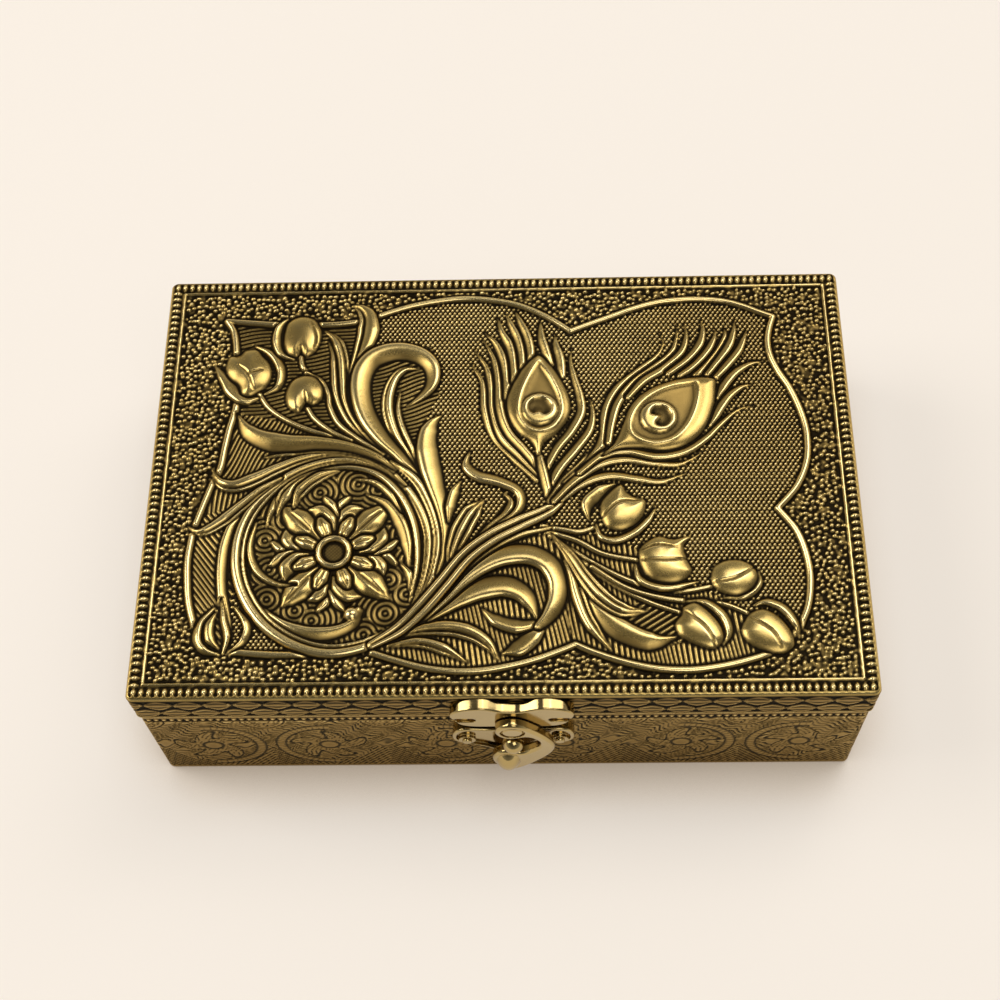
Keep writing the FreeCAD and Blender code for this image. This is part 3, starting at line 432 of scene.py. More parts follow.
# Each tulip's outline and the creases between its petals
tulips = [
    ([(-72.3, 33), (-71.5, 36), (-69, 36.4), (-67.4, 38), (-64.5, 38.2), (-62.6, 36), (-60.6, 33.5),
      (-59.8, 30), (-61, 26.5), (-63.5, 24.5), (-65.5, 23.5), (-67.6, 24.3), (-68.6, 27), (-70.6, 28.6),
      (-72, 30.6)],
     [[(-69.4, 33.4), (-66.2, 30.2), (-64.2, 25.4)], [(-66.2, 30.2), (-62.2, 31.4)]]),
    ([(-57.6, 43), (-56.6, 46.6), (-53.5, 48.4), (-50, 47.6), (-47.8, 44.6), (-47.6, 40.6), (-49, 37),
      (-51.2, 35.6), (-52.6, 36.4), (-54, 35.4), (-56.4, 36.6), (-57.6, 39.6)],
     [[(-52.6, 36), (-52.8, 38.6)], [(-49.4, 37.4), (-48.9, 41.4), (-50.6, 46.2)]]),
    ([(-56, 25), (-54.6, 28.4), (-51.6, 30), (-48.4, 29.2), (-46.2, 26), (-46.4, 22.4), (-48.6, 20.6),
      (-50.4, 21), (-52, 18.8), (-54, 19), (-55.8, 21.4)],
     [[(-50.4, 20.6), (-51, 24.4)]]),
    ([(24.4, -12.6), (24.6, -8.6), (26.8, -5.6), (29.8, -3.4), (31.4, -5.8), (33.4, -7.2), (35.8, -8),
      (35.6, -11.4), (33.4, -14.8), (29.6, -16.6), (26, -15.8)],
     [[(24.8, -13), (29.2, -9), (35.2, -8.2)]]),
    ([(33.4, -22.4), (35.4, -19.6), (38.6, -18), (42, -18.8), (46.4, -18.2), (44.8, -21), (45.4, -24.4),
      (46.4, -27.8), (44, -30.4), (40.6, -31.2), (36.4, -30), (34, -26.6)],
     [[(34.2, -24.6), (40, -25), (45.6, -24.4)], [(34.4, -22), (38, -20.8), (43, -21.4)]]),
    ([(50.6, -29.6), (51.6, -26.6), (54.6, -24.8), (58.4, -24.8), (61.4, -26.8), (62.2, -29.8), (60.6, -32.8),
      (57, -34.6), (53.2, -33.8), (51, -31.8)],
     [[(51.2, -31), (56.7, -30), (61.6, -26.8)]]),
    ([(43.8, -37), (46.8, -36), (50, -38.4), (52.6, -42.2), (53, -45.8), (50.4, -48.2), (46.6, -47.4),
      (42.6, -45), (41.4, -41.8), (43, -39.2)],
     [[(44.2, -38.6), (48.8, -43), (51, -47.6)]]),
    ([(60, -38.6), (63.4, -37.9), (67, -40.4), (69.4, -44.4), (69.4, -47.8), (66.6, -49.6), (62.6, -49.2),
      (58.6, -46.8), (57, -43.8), (58, -41)],
     [[(59.6, -40.4), (64.4, -44), (66.4, -48)]]),
]
tulip_rise = 1.6
crease_widths = [0.3, 0.6, 0.6, 0.3]
crease_depth = 0.45

# Peacock feathers: stems and barbs from tip to root
barbs = [
    [(-8.2, 32.9), (-5.2, 27), (-4.4, 19), (-2, 11.2), (3.4, 4.4), (9, -2)],
    [(-7.4, 37), (-4.2, 31.7), (-2.8, 25), (-2.2, 18.3), (0, 10.6), (4.8, 4.8), (9.6, -0.6)],
    [(-5.3, 41), (-2.2, 34), (-1, 26.7), (-0.6, 19), (1.4, 12.2), (5.6, 6.6), (10, 0.6)],
    [(-4.4, 42.2), (-1.6, 38.6), (0.4, 33.3), (1.2, 28), (1.2, 22)],
    [(-1.2, 47), (-0.1, 42.5), (2, 38), (3, 32.5), (3, 27)],
    [(0.9, 48.4), (2.5, 44.2), (4.1, 40.4), (5.1, 35.8), (5.2, 31)],
    [(3.4, 49.2), (5, 45), (6.6, 40.8), (7.4, 36.7), (7.4, 33)],
    [(10.1, 45.8), (10.3, 40.8), (11.3, 36.7), (12.6, 32)],
    [(13.8, 41.3), (14.1, 38), (15.1, 34), (15.6, 28.6)],
    [(18.2, 37.1), (17.8, 33), (18.8, 27.5), (20, 22.5), (20.2, 17.5), (17.6, 12), (14, 7), (11, 1)],
    [(22.6, 22), (23.2, 17), (22.2, 12), (18.6, 6.6), (14.4, 1), (11.6, -5)],
    [(9, 8.2), (9.6, 4), (10.6, -1), (11.8, -7)],
    [(25, 12), (24, 7.4), (20, 2), (15.4, -3), (12, -8)],
    [(41.3, 41.3), (42, 37.9), (39.8, 34), (34.8, 29.6), (29.6, 24.4), (26.6, 18), (25.8, 10), (22, 3),
     (16, -3)],
    [(45.8, 43.8), (45.6, 40), (43.8, 35), (39, 30.4), (33.8, 26), (29.8, 20.4), (28, 14.6), (27, 8.6)],
    [(47.7, 44.2), (48.2, 40.8), (46.8, 35.8), (42.3, 30.8), (36.6, 26.8), (32.4, 22)],
    [(52.1, 45.4), (52.6, 42.1), (51.4, 37.5), (48, 32.9), (43, 29)],
    [(56, 42.5), (55.2, 39.2), (53, 35), (49.8, 31.2), (46, 28.4)],
    [(58.3, 42.9), (58.1, 39.6), (56.4, 35.4), (53.2, 31.2), (50, 28.4)],
    [(61, 45), (60.6, 41.7), (59.2, 37.5), (56.4, 32.9), (53, 28.6)],
    [(64, 42.1), (63.1, 39.2), (61.4, 35.4), (58.2, 31.2), (55, 27.4)],
    [(67.5, 32.3), (64.2, 31.5), (60.6, 29.2), (57.6, 25.6), (55.4, 21.6)],
    [(64.6, 25.4), (61.7, 24.6), (58.4, 22), (55.6, 18), (53.2, 13.6)],
    [(46.6, -0.3), (40, -2.8), (34, -2), (27, -1), (20.6, -3), (15, -7.4)],
    [(50.8, 5.6), (45, 2.2), (38.4, 2.4), (31, 3.6), (24.6, 2.2), (18, -2.6), (13, -8)],
    [(64.8, 19), (60.4, 17.8), (56, 14), (51.6, 9.4), (46, 5.6), (39, 4.4), (31.6, 6), (25.6, 5), (19.6, 0)],
]
barb_widths = [0.3, 1.9, 2.6, 2.8, 2.7, 2.1]
barb_rise = 1.15
# Each feather's field, the drop sunk in it, the eye's middle, and its cup's notch: which way and how near
eye_fields = [
    ([(9.7, 35.2), (6.4, 32.6), (3.6, 28.2), (1.3, 22.4), (1.5, 16.6), (4.2, 11.6), (7.6, 8.6), (8.7, 5.4),
      (9.9, 5.4), (10.8, 8.4), (14, 11.2), (17.2, 16), (17.7, 21), (15.6, 27.2), (12.8, 32)],
     [(9.6, 33), (7, 28), (5, 22.4), (4.6, 17), (6.8, 13.2), (10, 12.2), (13.2, 13.6), (15.2, 17.4),
      (14.8, 22.4), (12.6, 28)],
     (9.7, 18.4), 262, 1.7),
    ([(25.2, 4.6), (28.6, 8.8), (30.6, 13.5), (33, 19.6), (37.4, 24), (43, 26.6), (49, 27.8), (54.6, 27.4),
      (55.2, 24.4), (54.4, 19), (51.8, 12.4), (47, 7.6), (41, 5.8), (35, 6.6), (29.4, 6.2)],
     [(50, 26), (50, 20.6), (47.6, 14), (43.6, 9.4), (38.2, 8.2), (33.6, 10.6), (33, 15), (36, 20.2),
      (42, 24.2)],
     (40.0, 15.6), 200, 0.7),
]
eye_radius = 4.7
eye_lift = 0.7
feather_rise, feather_swell = 1.25, 3.0
drop_depth, drop_swell = 0.45, 2.6
drop_rim_width, drop_rim_rise = 1.5, 0.22
eye_rise, eye_swell = 0.75, 1.6
cup_depth, cup_swell = 0.95, 2.2
cup_reaches = [2.7, 3.2, 3.2, 3.0, 2.9, 2.8, 2.9, 3.0, 3.2, 3.2, 2.7]

# Rosette, and the bead at the end of the round scroll
rosette = (-41.2, -21.7)
rosette_leaf_turns = [45, 136, 230, 318]
rosette_lobe_turns = [0, 90, 180, 270]
hub_radius = 3.8
scroll_bead = (-36.2, -38.3)
scroll_bead_radius = 2.0
scroll_bead_rise = 1.75


def polar(centre, radius, degrees):
    """A point at a distance and a turn from a centre."""
    turn = math.radians(degrees)
    return centre[0] + radius * math.cos(turn), centre[1] + radius * math.sin(turn)


def waves(distance, pitch):
    """Rounded ridges at an even pitch, from 0 to 1."""
    return (0.5 + 0.5 * np.cos(2 * np.pi * distance / pitch)) ** 0.8


def press_grounds(lid):
    """Dots and hatching inside the frame, scales inside the medallion, pebbles outside the frame."""
    outline_gap = 2.0
    dot_x, dot_y, dot_radius, dot_rise = 1.25, 1.8, 0.43, 1.05
    hatch_pitch, hatch_rise, hatch_sway = 1.15, 0.55, 0.35
    chevron_x, chevron_y, chevron_lean = 32.6, -42.6, 0.36
    scale_pitch, scale_rise = 1.35, 0.4
    outline = np.vstack([smooth_curve(run, outline_gap) for run in frame_runs])
    framed = inside(lid.x, lid.y, outline)
    ground = np.zeros(lid.x.shape)
    for shift in (0, 0.5):
        dx = (lid.x / dot_x + shift) % 1 - 0.5
        dy = (lid.y / dot_y + shift) % 1 - 0.5
        far = ((dx * dot_x) ** 2 + (dy * dot_y) ** 2) / dot_radius**2
        ground = np.maximum(ground, dot_rise * np.sqrt(np.clip(1 - far, 0, 1)))
    chevrons = (lid.x - np.abs(lid.y - chevron_y + chevron_lean * (lid.x - chevron_x))) * math.sqrt(0.5)
    sway = hatch_sway * np.sin(lid.x * 0.35 + lid.y * 0.2)
    for lean, field_outline in hatch_fields:
        here = inside(lid.x, lid.y, np.array(field_outline, float))
        across = chevrons
        if lean is not None:
            turn = math.radians(lean)
            across = lid.y * math.cos(turn) - lid.x * math.sin(turn) + sway
        ground = np.where(here, hatch_rise * waves(across, hatch_pitch), ground)
    disc = np.hypot(lid.x - medallion[0], lid.y - medallion[1]) < medallion_radius
    far = np.min([np.hypot(lid.x - x, lid.y - y) for x, y in scale_spots], axis=0)
    ground = np.where(disc, scale_rise * waves(far, scale_pitch), ground)
    lid.z = np.where(framed, ground_level + ground, lid.z)
    press_pebbles(lid, framed)


def press_pebbles(lid, framed):
    """Random pebbles on a lumpy ground between the border and the frame, none closer than their own width."""
    gap, inset, tries = 1.05, 4.9, 52000
    lump_base, lump_rise, lump_range = 0.1, 0.15, (-0.6, 1.6)
    sizes, stretches, rises = (0.4, 0.62), (0.8, 1.3), (0.6, 1.0)
    draw = np.random.default_rng(seed)
    lumps = blurred(draw.uniform(-1, 1, lid.z.shape), 2)
    lumpy = lid.z + lump_base + lump_rise * np.clip(lumps / lumps.std(), *lump_range)
    lid.z = np.where(framed, lid.z, lumpy)
    cells = {}
    reach_x, reach_y = half_width - inset, half_depth - inset
    for x, y in draw.uniform((-reach_x, -reach_y), (reach_x, reach_y), (tries, 2)):
        row = int(round((y - lid.ys[0]) / lid.step))
        column = int(round((x - lid.xs[0]) / lid.step))
        if framed[row, column]:
            continue
        key = int(x // gap), int(y // gap)
        close = [cells.get((key[0] + i, key[1] + j)) for i in (-1, 0, 1) for j in (-1, 0, 1)]
        if any(spot and math.dist(spot, (x, y)) < gap for spot in close):
            continue
        cells[key] = (x, y)
        size = draw.uniform(*sizes)
        stretch = draw.uniform(*stretches)
        lid.bump(x, y, size * stretch, size / stretch, draw.uniform(*rises))


def press_border(lid):
    """A beaded row between plain lines round the lid's edge. A line has an inset, a width and a rise."""
    lines = ((3.95, 0.9, 0.85), (0.75, 0.55, 0.75), (3.15, 0.35, 0.55))
    bead_inset, pitch = 1.95, 1.87
    across_radius, along_radius, bead_rise = 1.12, 0.8, 1.1
    for inset, width, rise in lines:
        far = np.minimum(half_width - np.abs(lid.x), half_depth - np.abs(lid.y)) - inset
        ridge = ground_level + rise * rounded(np.clip(far / (width / 2), -1, 1))
        lid.z = np.where(np.abs(far) < width / 2, np.maximum(lid.z, ridge), lid.z)
    reach_x, reach_y = half_width - bead_inset, half_depth - bead_inset
    count_x, count_y = round(2 * reach_x / pitch), round(2 * reach_y / pitch)
    for x in np.linspace(-reach_x, reach_x, count_x + 1):
        for y in (-reach_y, reach_y):
            lid.bump(x, y, along_radius, across_radius, bead_rise)
    for y in np.linspace(-reach_y, reach_y, count_y + 1)[1:-1]:
        for x in (-reach_x, reach_x):
            lid.bump(x, y, across_radius, along_radius, bead_rise)


def press_rosette(lid):
    """Four pointed leaves, four trefoils and eight round inner petals about a ringed hub."""
    lobes = ((15.4, 9, 3.4), (13.4, 24, 4.6))
    lobe_bend = ((0.5, 0.25), (0.7, 0.5), (0.88, 0.8), (1, 1.25))
    for turn in rosette_lobe_turns:
        for lean in (-1, 1):
            for reach, spread, width in lobes:
                points = [polar(rosette, reach * r, turn + lean * spread * bend) for r, bend in lobe_bend]
                lid.stroke(points, [1.8, width, width, 1.6], 1.25, crest_left if lean > 0 else crest_right)
    for turn in rosette_leaf_turns:
        points = [polar(rosette, r, turn) for r in (6, 9, 12.5, 16, 18.8)]
        lid.stroke(points, [2.5, 6.0, 7.2, 4.6, 0.3], 1.4, veined)
    for turn in range(0, 360, 45):
        points = [polar(rosette, r, turn + 22.5) for r in (4, 6, 8, 9.6)]
        lid.stroke(points, [2.0, 3.4, 4.2, 2.6], 1.5, veined)
    ring = [polar(rosette, hub_radius, turn) for turn in range(0, 361, 30)]
    lid.stroke(ring, [1.9, 1.9], 1.75, rounded)
    weave_pitch, hub_rim = 0.9, 0.9
    far = np.hypot(lid.x - rosette[0], lid.y - rosette[1])
    weave = 0.5 + 0.22 * np.cos(2 * np.pi * lid.x / weave_pitch) * np.cos(2 * np.pi * lid.y / weave_pitch)
    lid.z = np.where(far < hub_radius - hub_rim, ground_level + weave, lid.z)


def press_feathers(lid):
    """Barbs, then each feather's swelling field with a sunk drop and a round boss with a cup in it."""
    for points in barbs:
        lid.stroke(points, barb_widths, barb_rise, crest_right)
    for field_outline, drop, eye, opens, notch in eye_fields:
        lid.blob(field_outline, feather_rise, feather_swell)
        lid.blob(drop, -drop_depth, drop_swell, "add")
        lid.stroke(drop + drop[:1], [drop_rim_width] * 2, drop_rim_rise, rounded, way="add", low=1)
        disc = [polar(eye, eye_radius, turn) for turn in range(0, 360, 30)]
        lid.blob(disc, eye_rise, eye_swell, "add")
        middle = polar(eye, eye_lift, opens + 180)
        cup = [polar(middle, reach, opens + 30 * step) for step, reach in enumerate([notch] + cup_reaches)]
        lid.blob(cup, -cup_depth, cup_swell, "add")


def softened(z):
    """Every height drawn towards its neighbours'."""
    for axis in (0, 1):
        padded = np.pad(z, [(1, 1) if i == axis else (0, 0) for i in (0, 1)], mode="edge")
        count = z.shape[axis]
        before, here, after = (np.take(padded, np.arange(i, i + count), axis=axis) for i in (0, 1, 2))
        z = (before + 2 * here + after) / 4
    return z


def press_lid():
    """The whole relief of the lid's top."""
    lid = Relief(half_width - edge_round, half_depth - edge_round, relief_step)
    press_grounds(lid)
    press_border(lid)
    for run in frame_runs:
        lid.stroke(run, frame_widths, 0.0, dome)
    for run in frame_runs:
        lid.stroke(run, frame_widths, frame_rise, dome, way="join", low=1)
    for points in stems:
        lid.stroke(points, stem_widths, stem_rise, rounded)
    press_rosette(lid)
    for section, rise, widths, points in scrolls:
        lid.stroke(points, widths, rise, section)
    lid.bump(*scroll_bead, scroll_bead_radius, scroll_bead_radius, scroll_bead_rise)
    press_feathers(lid)
    for widths, points in sepals:
        lid.stroke(points, widths, sepal_rise, crest_left)
    for outline, creases in tulips:
        lid.blob(outline, tulip_rise)
        for crease in creases:
            lid.stroke(crease, crease_widths, -crease_depth, rounded, way="add", low=1)
    lid.z = softened(lid.z)
    return lid


def blurred(z, reach):
    """A box blur, run twice."""
    for _ in range(2):
        for axis in (0, 1):
            pad = [(reach + 1, reach) if i == axis else (0, 0) for i in (0, 1)]
            total = np.cumsum(np.pad(z, pad, mode="edge"), axis=axis)
            count = z.shape[axis]
            upper = np.take(total, np.arange(2 * reach + 1, 2 * reach + 1 + count), axis=axis)
            lower = np.take(total, np.arange(count), axis=axis)
            z = (upper - lower) / (2 * reach + 1)
    return z


def make_mesh(name, points, faces, smooth=True):
    """A mesh object from points in millimetres."""
    mesh = bpy.data.meshes.new(name)
    mesh.from_pydata((np.asarray(points) * mm).tolist(), [], faces)
    mesh.validate()
    mesh.polygons.foreach_set("use_smooth", [smooth] * len(mesh.polygons))
    mesh.update()
    piece = bpy.data.objects.new(name, mesh)
    bpy.context.collection.objects.link(piece)
    return piece


def add_values(piece, name, values):
    """A number at every point of a mesh, which its material reads."""
    values = np.asarray(values, dtype=np.float32)
    full = np.zeros(len(piece.data.vertices), dtype=np.float32)
    full[: len(values)] = values
    piece.data.attributes.new(name, "FLOAT", "POINT").data.foreach_set("value", full)


def grid_faces(index):
    """The squares of a grid of point numbers."""
    corners = [index[:-1, :-1], index[:-1, 1:], index[1:, 1:], index[1:, :-1]]
    return np.stack(corners, axis=-1).reshape(-1, 4).tolist()


def grid_rim(index):
    """The point numbers round a grid's edge, in turn."""
    return np.concatenate([index[0, :-1], index[:-1, -1], index[-1, :0:-1], index[:0:-1, 0]])


def wall_faces(ring, following):
    """The squares between two rings of point numbers."""
    corners = [ring, following, np.roll(following, -1), np.roll(ring, -1)]
    return np.stack(corners, axis=-1).tolist()


def round_corners(x, y):
    """Draws the grid's square corners in to round ones."""
    a = np.clip((np.abs(x) - corner_x) / grid_corner, 0, 1)
    b = np.clip((np.abs(y) - corner_y) / grid_corner, 0, 1)
    corner = (a > 0) & (b > 0)
    new_x = np.where(corner, np.sign(x) * (corner_x + grid_corner * a * np.sqrt(1 - b * b / 2)), x)
    new_y = np.where(corner, np.sign(y) * (corner_y + grid_corner * b * np.sqrt(1 - a * a / 2)), y)
    return new_x, new_y


def lid_tone(z):
    """How far the oxide is rubbed off, the crests' pale also a painted highlight: 0 in the hollows, 1 on the
    crests.
    """
    middle_tone, middle_height = 0.38, 0.45
    fine = z - blurred(z, 2)
    broad = z - blurred(z, 12)
    return np.clip(middle_tone + 1.6 * fine + 0.2 * broad + 0.2 * (z - middle_height), 0, 1)


def edge_rings(rim, out):
    """Push, level and tone of each ring below the lid's top: rolled edge, leafy skirt and its inside."""
    roll = ((30, 0.75), (60, 0.5), (90, 0.2))
    skirt_step, inside_tone = 0.3, 0.2
    long_side = np.abs(out[:, 1]) > np.abs(out[:, 0])
    along = np.where(long_side, rim[:, 0], rim[:, 1])
    length = np.where(long_side, 2 * half_width, 2 * half_depth)
    bright = np.ones(len(rim))
    rings = []
    for degrees, tone in roll:
        turn = math.radians(degrees)
        level = field - edge_round + edge_round * math.cos(turn)
        rings.append((edge_round * math.sin(turn), level, tone * bright))
    for level in spaced(np.array([skirt_low, field - edge_round]), skirt_step)[-2::-1]:
        rise = leaf_rows(along, level, length)
        rings.append((edge_round - band_relief * (1 - rise), level, 0.62 - 0.6 * (1 - rise)))
    for level in (skirt_low, field - sheet):
        rings.append((edge_round - sheet, level, inside_tone * bright))
    return rings, len(roll)


def lid_top():
    """The pressed sheet over the lid: relief, rolled edge, skirt and flat underside."""
    lid = press_lid()
    rows, columns = lid.z.shape
    x, y = round_corners(lid.x, lid.y)
    points = [np.stack([x, y, field + lid.z], axis=-1).reshape(-1, 3)]
    tones = [lid_tone(lid.z).ravel()]
    index = np.arange(rows * columns).reshape(rows, columns)
    faces = grid_faces(index)
    last, total = grid_rim(index), rows * columns
    rim = points[0][last]
    out = rim[:, :2] - np.clip(rim[:, :2], (-corner_x, -corner_y), (corner_x, corner_y))
    out /= np.hypot(out[:, 0], out[:, 1])[:, None]
    rings, plain_rings = edge_rings(rim, out)
    for push, level, tone in rings:
        ring = np.empty_like(rim)
        ring[:, :2] = rim[:, :2] + out * np.broadcast_to(push, len(rim))[:, None]
        ring[:, 2] = level
        points.append(ring)
        tones.append(tone)
        now = np.arange(total, total + len(rim))
        total += len(rim)
        faces += wall_faces(last, now)
        last = now
    faces.append(last[::-1].tolist())
    piece = make_mesh("lid_top_relief", np.vstack(points), faces)
    add_values(piece, "tone", np.concatenate(tones))
    # The skirt and underside take the darker side brass, painted shade on the upright faces
    top_faces = (rows - 1) * (columns - 1) + plain_rings * len(rim)
    kinds = np.where(np.arange(len(piece.data.polygons)) < top_faces, 0, 1)
    piece.data.polygons.foreach_set("material_index", kinds.astype(np.int32))
    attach(piece, "lid")
    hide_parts("lid_top_sheet")
    return piece


class Outline:
    """The way round a rounded rectangle, from the middle of the back, in millimetres."""

    def __init__(self, half_x, half_y):
        self.half_x, self.half_y = half_x, half_y
        flat_x, flat_y = half_x - corner_radius, half_y - corner_radius
        bend = corner_radius * math.pi / 2
        lengths = [flat_x, bend, 2 * flat_y, bend, 2 * flat_x, bend, 2 * flat_y, bend, flat_x]
        self.ends = np.concatenate([[0], np.cumsum(lengths)])
        self.total = self.ends[-1]

    def at(self, run):
        """Places and outward ways at distances along the outline, going to the left round the back."""
        flat_x, flat_y = self.half_x - corner_radius, self.half_y - corner_radius
        corners = [(-flat_x, flat_y), (-flat_x, -flat_y), (flat_x, -flat_y), (flat_x, flat_y)]
        starts = [(0, flat_y)] + [corner for corner in corners for _ in range(2)]
        part = np.clip(np.searchsorted(self.ends, run, side="right") - 1, 0, 8)
        along = run - self.ends[part]
        turn = np.radians(90 * (1 + (part + 1) // 2 - part % 2))
        turn = turn + np.where(part % 2, along / corner_radius, 0)
        out = np.stack([np.cos(turn), np.sin(turn)], axis=-1)
        ahead = np.stack([-out[..., 1], out[..., 0]], axis=-1)
        base = np.array(starts)[part] + np.where((part % 2)[..., None], 0, ahead * along[..., None])
        return base + out * corner_radius, out


def spaced(breaks, gap):
    """Numbers through all the breaks, about a gap apart."""
    runs = [np.linspace(a, b, max(1, round((b - a) / gap)) + 1)[:-1] for a, b in zip(breaks, breaks[1:])]
    return np.concatenate(runs + [breaks[-1:]])


def side_strip(name, node, body, notch, gap, depth_of):
    """A strip of pressed sheet round the sides, its relief sunk in from the outer face."""
    (_, _, low), (half_x, half_y, high) = box_mm(node)
    outline = Outline(half_x, half_y)
    edges = []
    for place in notch_places:
        middle = -place if place < 0 else outline.total - place
        edges += [middle - notch_half, middle + notch_half]
    breaks = np.array(sorted(edges + list(outline.ends[1:-1]) + [seam_gap / 2, outline.total - seam_gap / 2]))
    runs = spaced(breaks, gap)
    levels = spaced(np.array(sorted({low, notch, high})), gap)
    places, out = outline.at(runs)
    deep = depth_of(runs, levels, outline)
    rows, columns = deep.shape
    points = np.empty((rows, columns, 3))
    points[..., :2] = places[None] - out[None] * deep[..., None]
    points[..., 2] = levels[:, None]
    middles = (runs[:-1] + runs[1:]) / 2
    notched = np.zeros(columns - 1, bool)
    for a, b in zip(sorted(edges)[::2], sorted(edges)[1::2]):
        notched |= (middles > a) & (middles < b)
    step = int(np.argmin(np.abs(levels - notch)))
    open_top = notch > (low + high) / 2
    first = np.where(notched & (not open_top), step, 0)
    last = np.where(notched & open_top, step, rows - 1)
    index = np.arange(rows * columns).reshape(rows, columns)
    faces = []
    inner_points, inner_index = [], {}

    def inner(row, column):
        """The point behind a place of the strip, on the boards."""
        if (row, column) not in inner_index:
            x, y = places[column] - out[column] * sheet
            inner_index[row, column] = rows * columns + len(inner_points)
            inner_points.append((x, y, levels[row]))
        return inner_index[row, column]

    tops = [set() for _ in range(columns)]
    for c in range(columns - 1):
        for side in (c, c + 1):
            tops[side] |= {int(first[c]), int(last[c])}
    for c in range(columns - 1):
        r0, r1 = int(first[c]), int(last[c])
        a, b = index[r0 : r1 + 1, c], index[r0 : r1 + 1, c + 1]
        faces += np.stack([a[:-1], b[:-1], b[1:], a[1:]], axis=-1).tolist()
        faces.append([int(a[-1]), int(b[-1]), inner(r1, c + 1), inner(r1, c)])
        faces.append([int(b[0]), int(a[0]), inner(r0, c), inner(r0, c + 1)])
        left = [inner(r, c) for r in sorted(tops[c]) if r0 <= r <= r1]
        right = [inner(r, c + 1) for r in sorted(tops[c + 1]) if r0 <= r <= r1]
        faces.append(left + right[::-1])
        if c == 0:
            faces.append(a.tolist() + [inner(r1, c), inner(r0, c)])
        if c == columns - 2:
            faces.append(b[::-1].tolist() + [inner(r0, c + 1), inner(r1, c + 1)])
        elif (first[c], last[c]) != (first[c + 1], last[c + 1]):
            r2, r3 = int(first[c + 1]), int(last[c + 1])
            low_row, high_row = (last[c], r3) if last[c] != r3 else (first[c], r2)
            small, large = sorted((int(low_row), int(high_row)))
            run = index[small : large + 1, c + 1].tolist()
            back = [inner(small, c + 1), inner(large, c + 1)]
            grows = notched[c]
            faces.append(run + back[::-1] if grows else run[::-1] + back)
    everything = np.vstack([points.reshape(-1, 3), np.array(inner_points)])
    piece = make_mesh(name, everything, faces)
    # Oxide in the hollows, and rubbed crests whose pale is also a painted highlight
    tone = 0.6 + 1.4 * (blurred(deep, 2) - deep) - 1.15 * deep
    add_values(piece, "tone", np.clip(tone, 0, 1).ravel())
    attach(piece, body)
    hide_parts(node)
    return piece


def side_places(runs, outline):
    """How far along its own side each place is from that side's middle, and the side's length."""
    breaks = [0, *outline.ends[1:9:2], outline.total]
    bend = corner_radius * math.pi / 2
    along, length = np.zeros(len(runs)), np.zeros(len(runs))
    for i, (a, b) in enumerate(zip(breaks, breaks[1:])):
        here = (runs >= a) & (runs <= b)
        if i in (0, 4):
            along[here] = runs[here] if i == 0 else runs[here] - outline.total
            length[here] = 2 * outline.half_x
        else:
            along[here] = runs[here] - (a + b + bend) / 2
            length[here] = 2 * (outline.half_x if i == 2 else outline.half_y)
    return along, length


def leaf_rows(u, z, length):
    """Two staggered rows of pointed leaves: 1 on a leaf's rim and rib, 0 between the leaves."""
    rows = ((0.24, 0.22, 1.05, 0.5), (0.66, 0.25, 1.0, 0))
    leaf_length, rim_share, moat_share, edge_half = 7.0, 0.25, 1.3, 0.2
    tall = field - band_foot
    pitch = length / np.round(length / leaf_length)
    rise = np.zeros(np.broadcast(u, z).shape)
    for middle, half_height, spread, shift in rows:
        du = np.abs((u / pitch + shift) % 1 - 0.5) * pitch
        half = half_height * tall * (1 - (2 * du / (pitch * spread)) ** 1.6)
        across = np.abs(z - band_foot - tall * middle) / np.maximum(half, 0.01)
        rib = 0.8 + 0.2 * np.cos(2.4 * np.pi * across)
        leaf = np.clip((1 - across) / rim_share, 0, 1) ** 0.6 * rib
        moated = (half > 0) & (across < moat_share)
        rise = np.where(moated, np.where(across < 1, leaf, 0), rise)
    edge = rounded(np.clip((z - band_foot - edge_half) / edge_half, -1, 1))
    return np.maximum(rise, edge)


def band_depth(runs, levels, outline):
    """The lid's sides: the leaf rows, sunk in from the face."""
    along, length = side_places(runs, outline)
    u, z = np.meshgrid(along, levels)
    return band_relief * (1 - leaf_rows(u, z, np.broadcast_to(length, u.shape)))


def line(distance, width):
    """A chased line: 1 along its middle, 0 at its edges."""
    return np.clip(1 - (distance / width) ** 2, 0, 1)


def stripes(place, width):
    """Chased lines one apart."""
    return line(place % 1 - 0.5, width)


def loose_lines(u, z):
    """Chased lines that wander over the ground, fainter in patches."""
    drift = z + 1.8 * np.sin(0.33 * u + 0.9 * np.sin(0.35 * z)) + 0.9 * np.sin(0.9 * u - 0.6 * z)
    patches = np.clip(0.75 + 0.5 * np.sin(0.7 * u + 1.3 * np.sin(0.5 * z)), 0.45, 1)
    return stripes(drift / 1.3, 0.25) * patches


def flower_lines(share, turn, number, ground):
    """A swirling flower with five veined petals and a ringed heart, each number a little different."""
    petals, heart = 5, 0.2
    swirl = turn + 1.3 * share
    petal = 0.58 + 0.2 * np.cos(petals * swirl) + 0.05 * np.cos(3 * turn + number)
    veins = line(np.sin(3 * petals * swirl), 0.4) * ((share > heart + 0.04) & (share < petal - 0.06))
    lines = [0.85 * line(share - petal, 0.05), 0.7 * line(share - heart, 0.045), veins * 0.7]
    return np.where(share < petal + 0.07, np.max(lines, axis=0), ground)


def crescent_lines(share, turn):
    """Two edges and the hatching between them."""
    inner, outer = 0.88, 1.08
    hatch = 0.45 * line(np.sin(26 * turn), 0.5)
    return np.max([0.7 * line(share - inner, 0.04), 0.7 * line(share - outer, 0.04), hatch], axis=0)


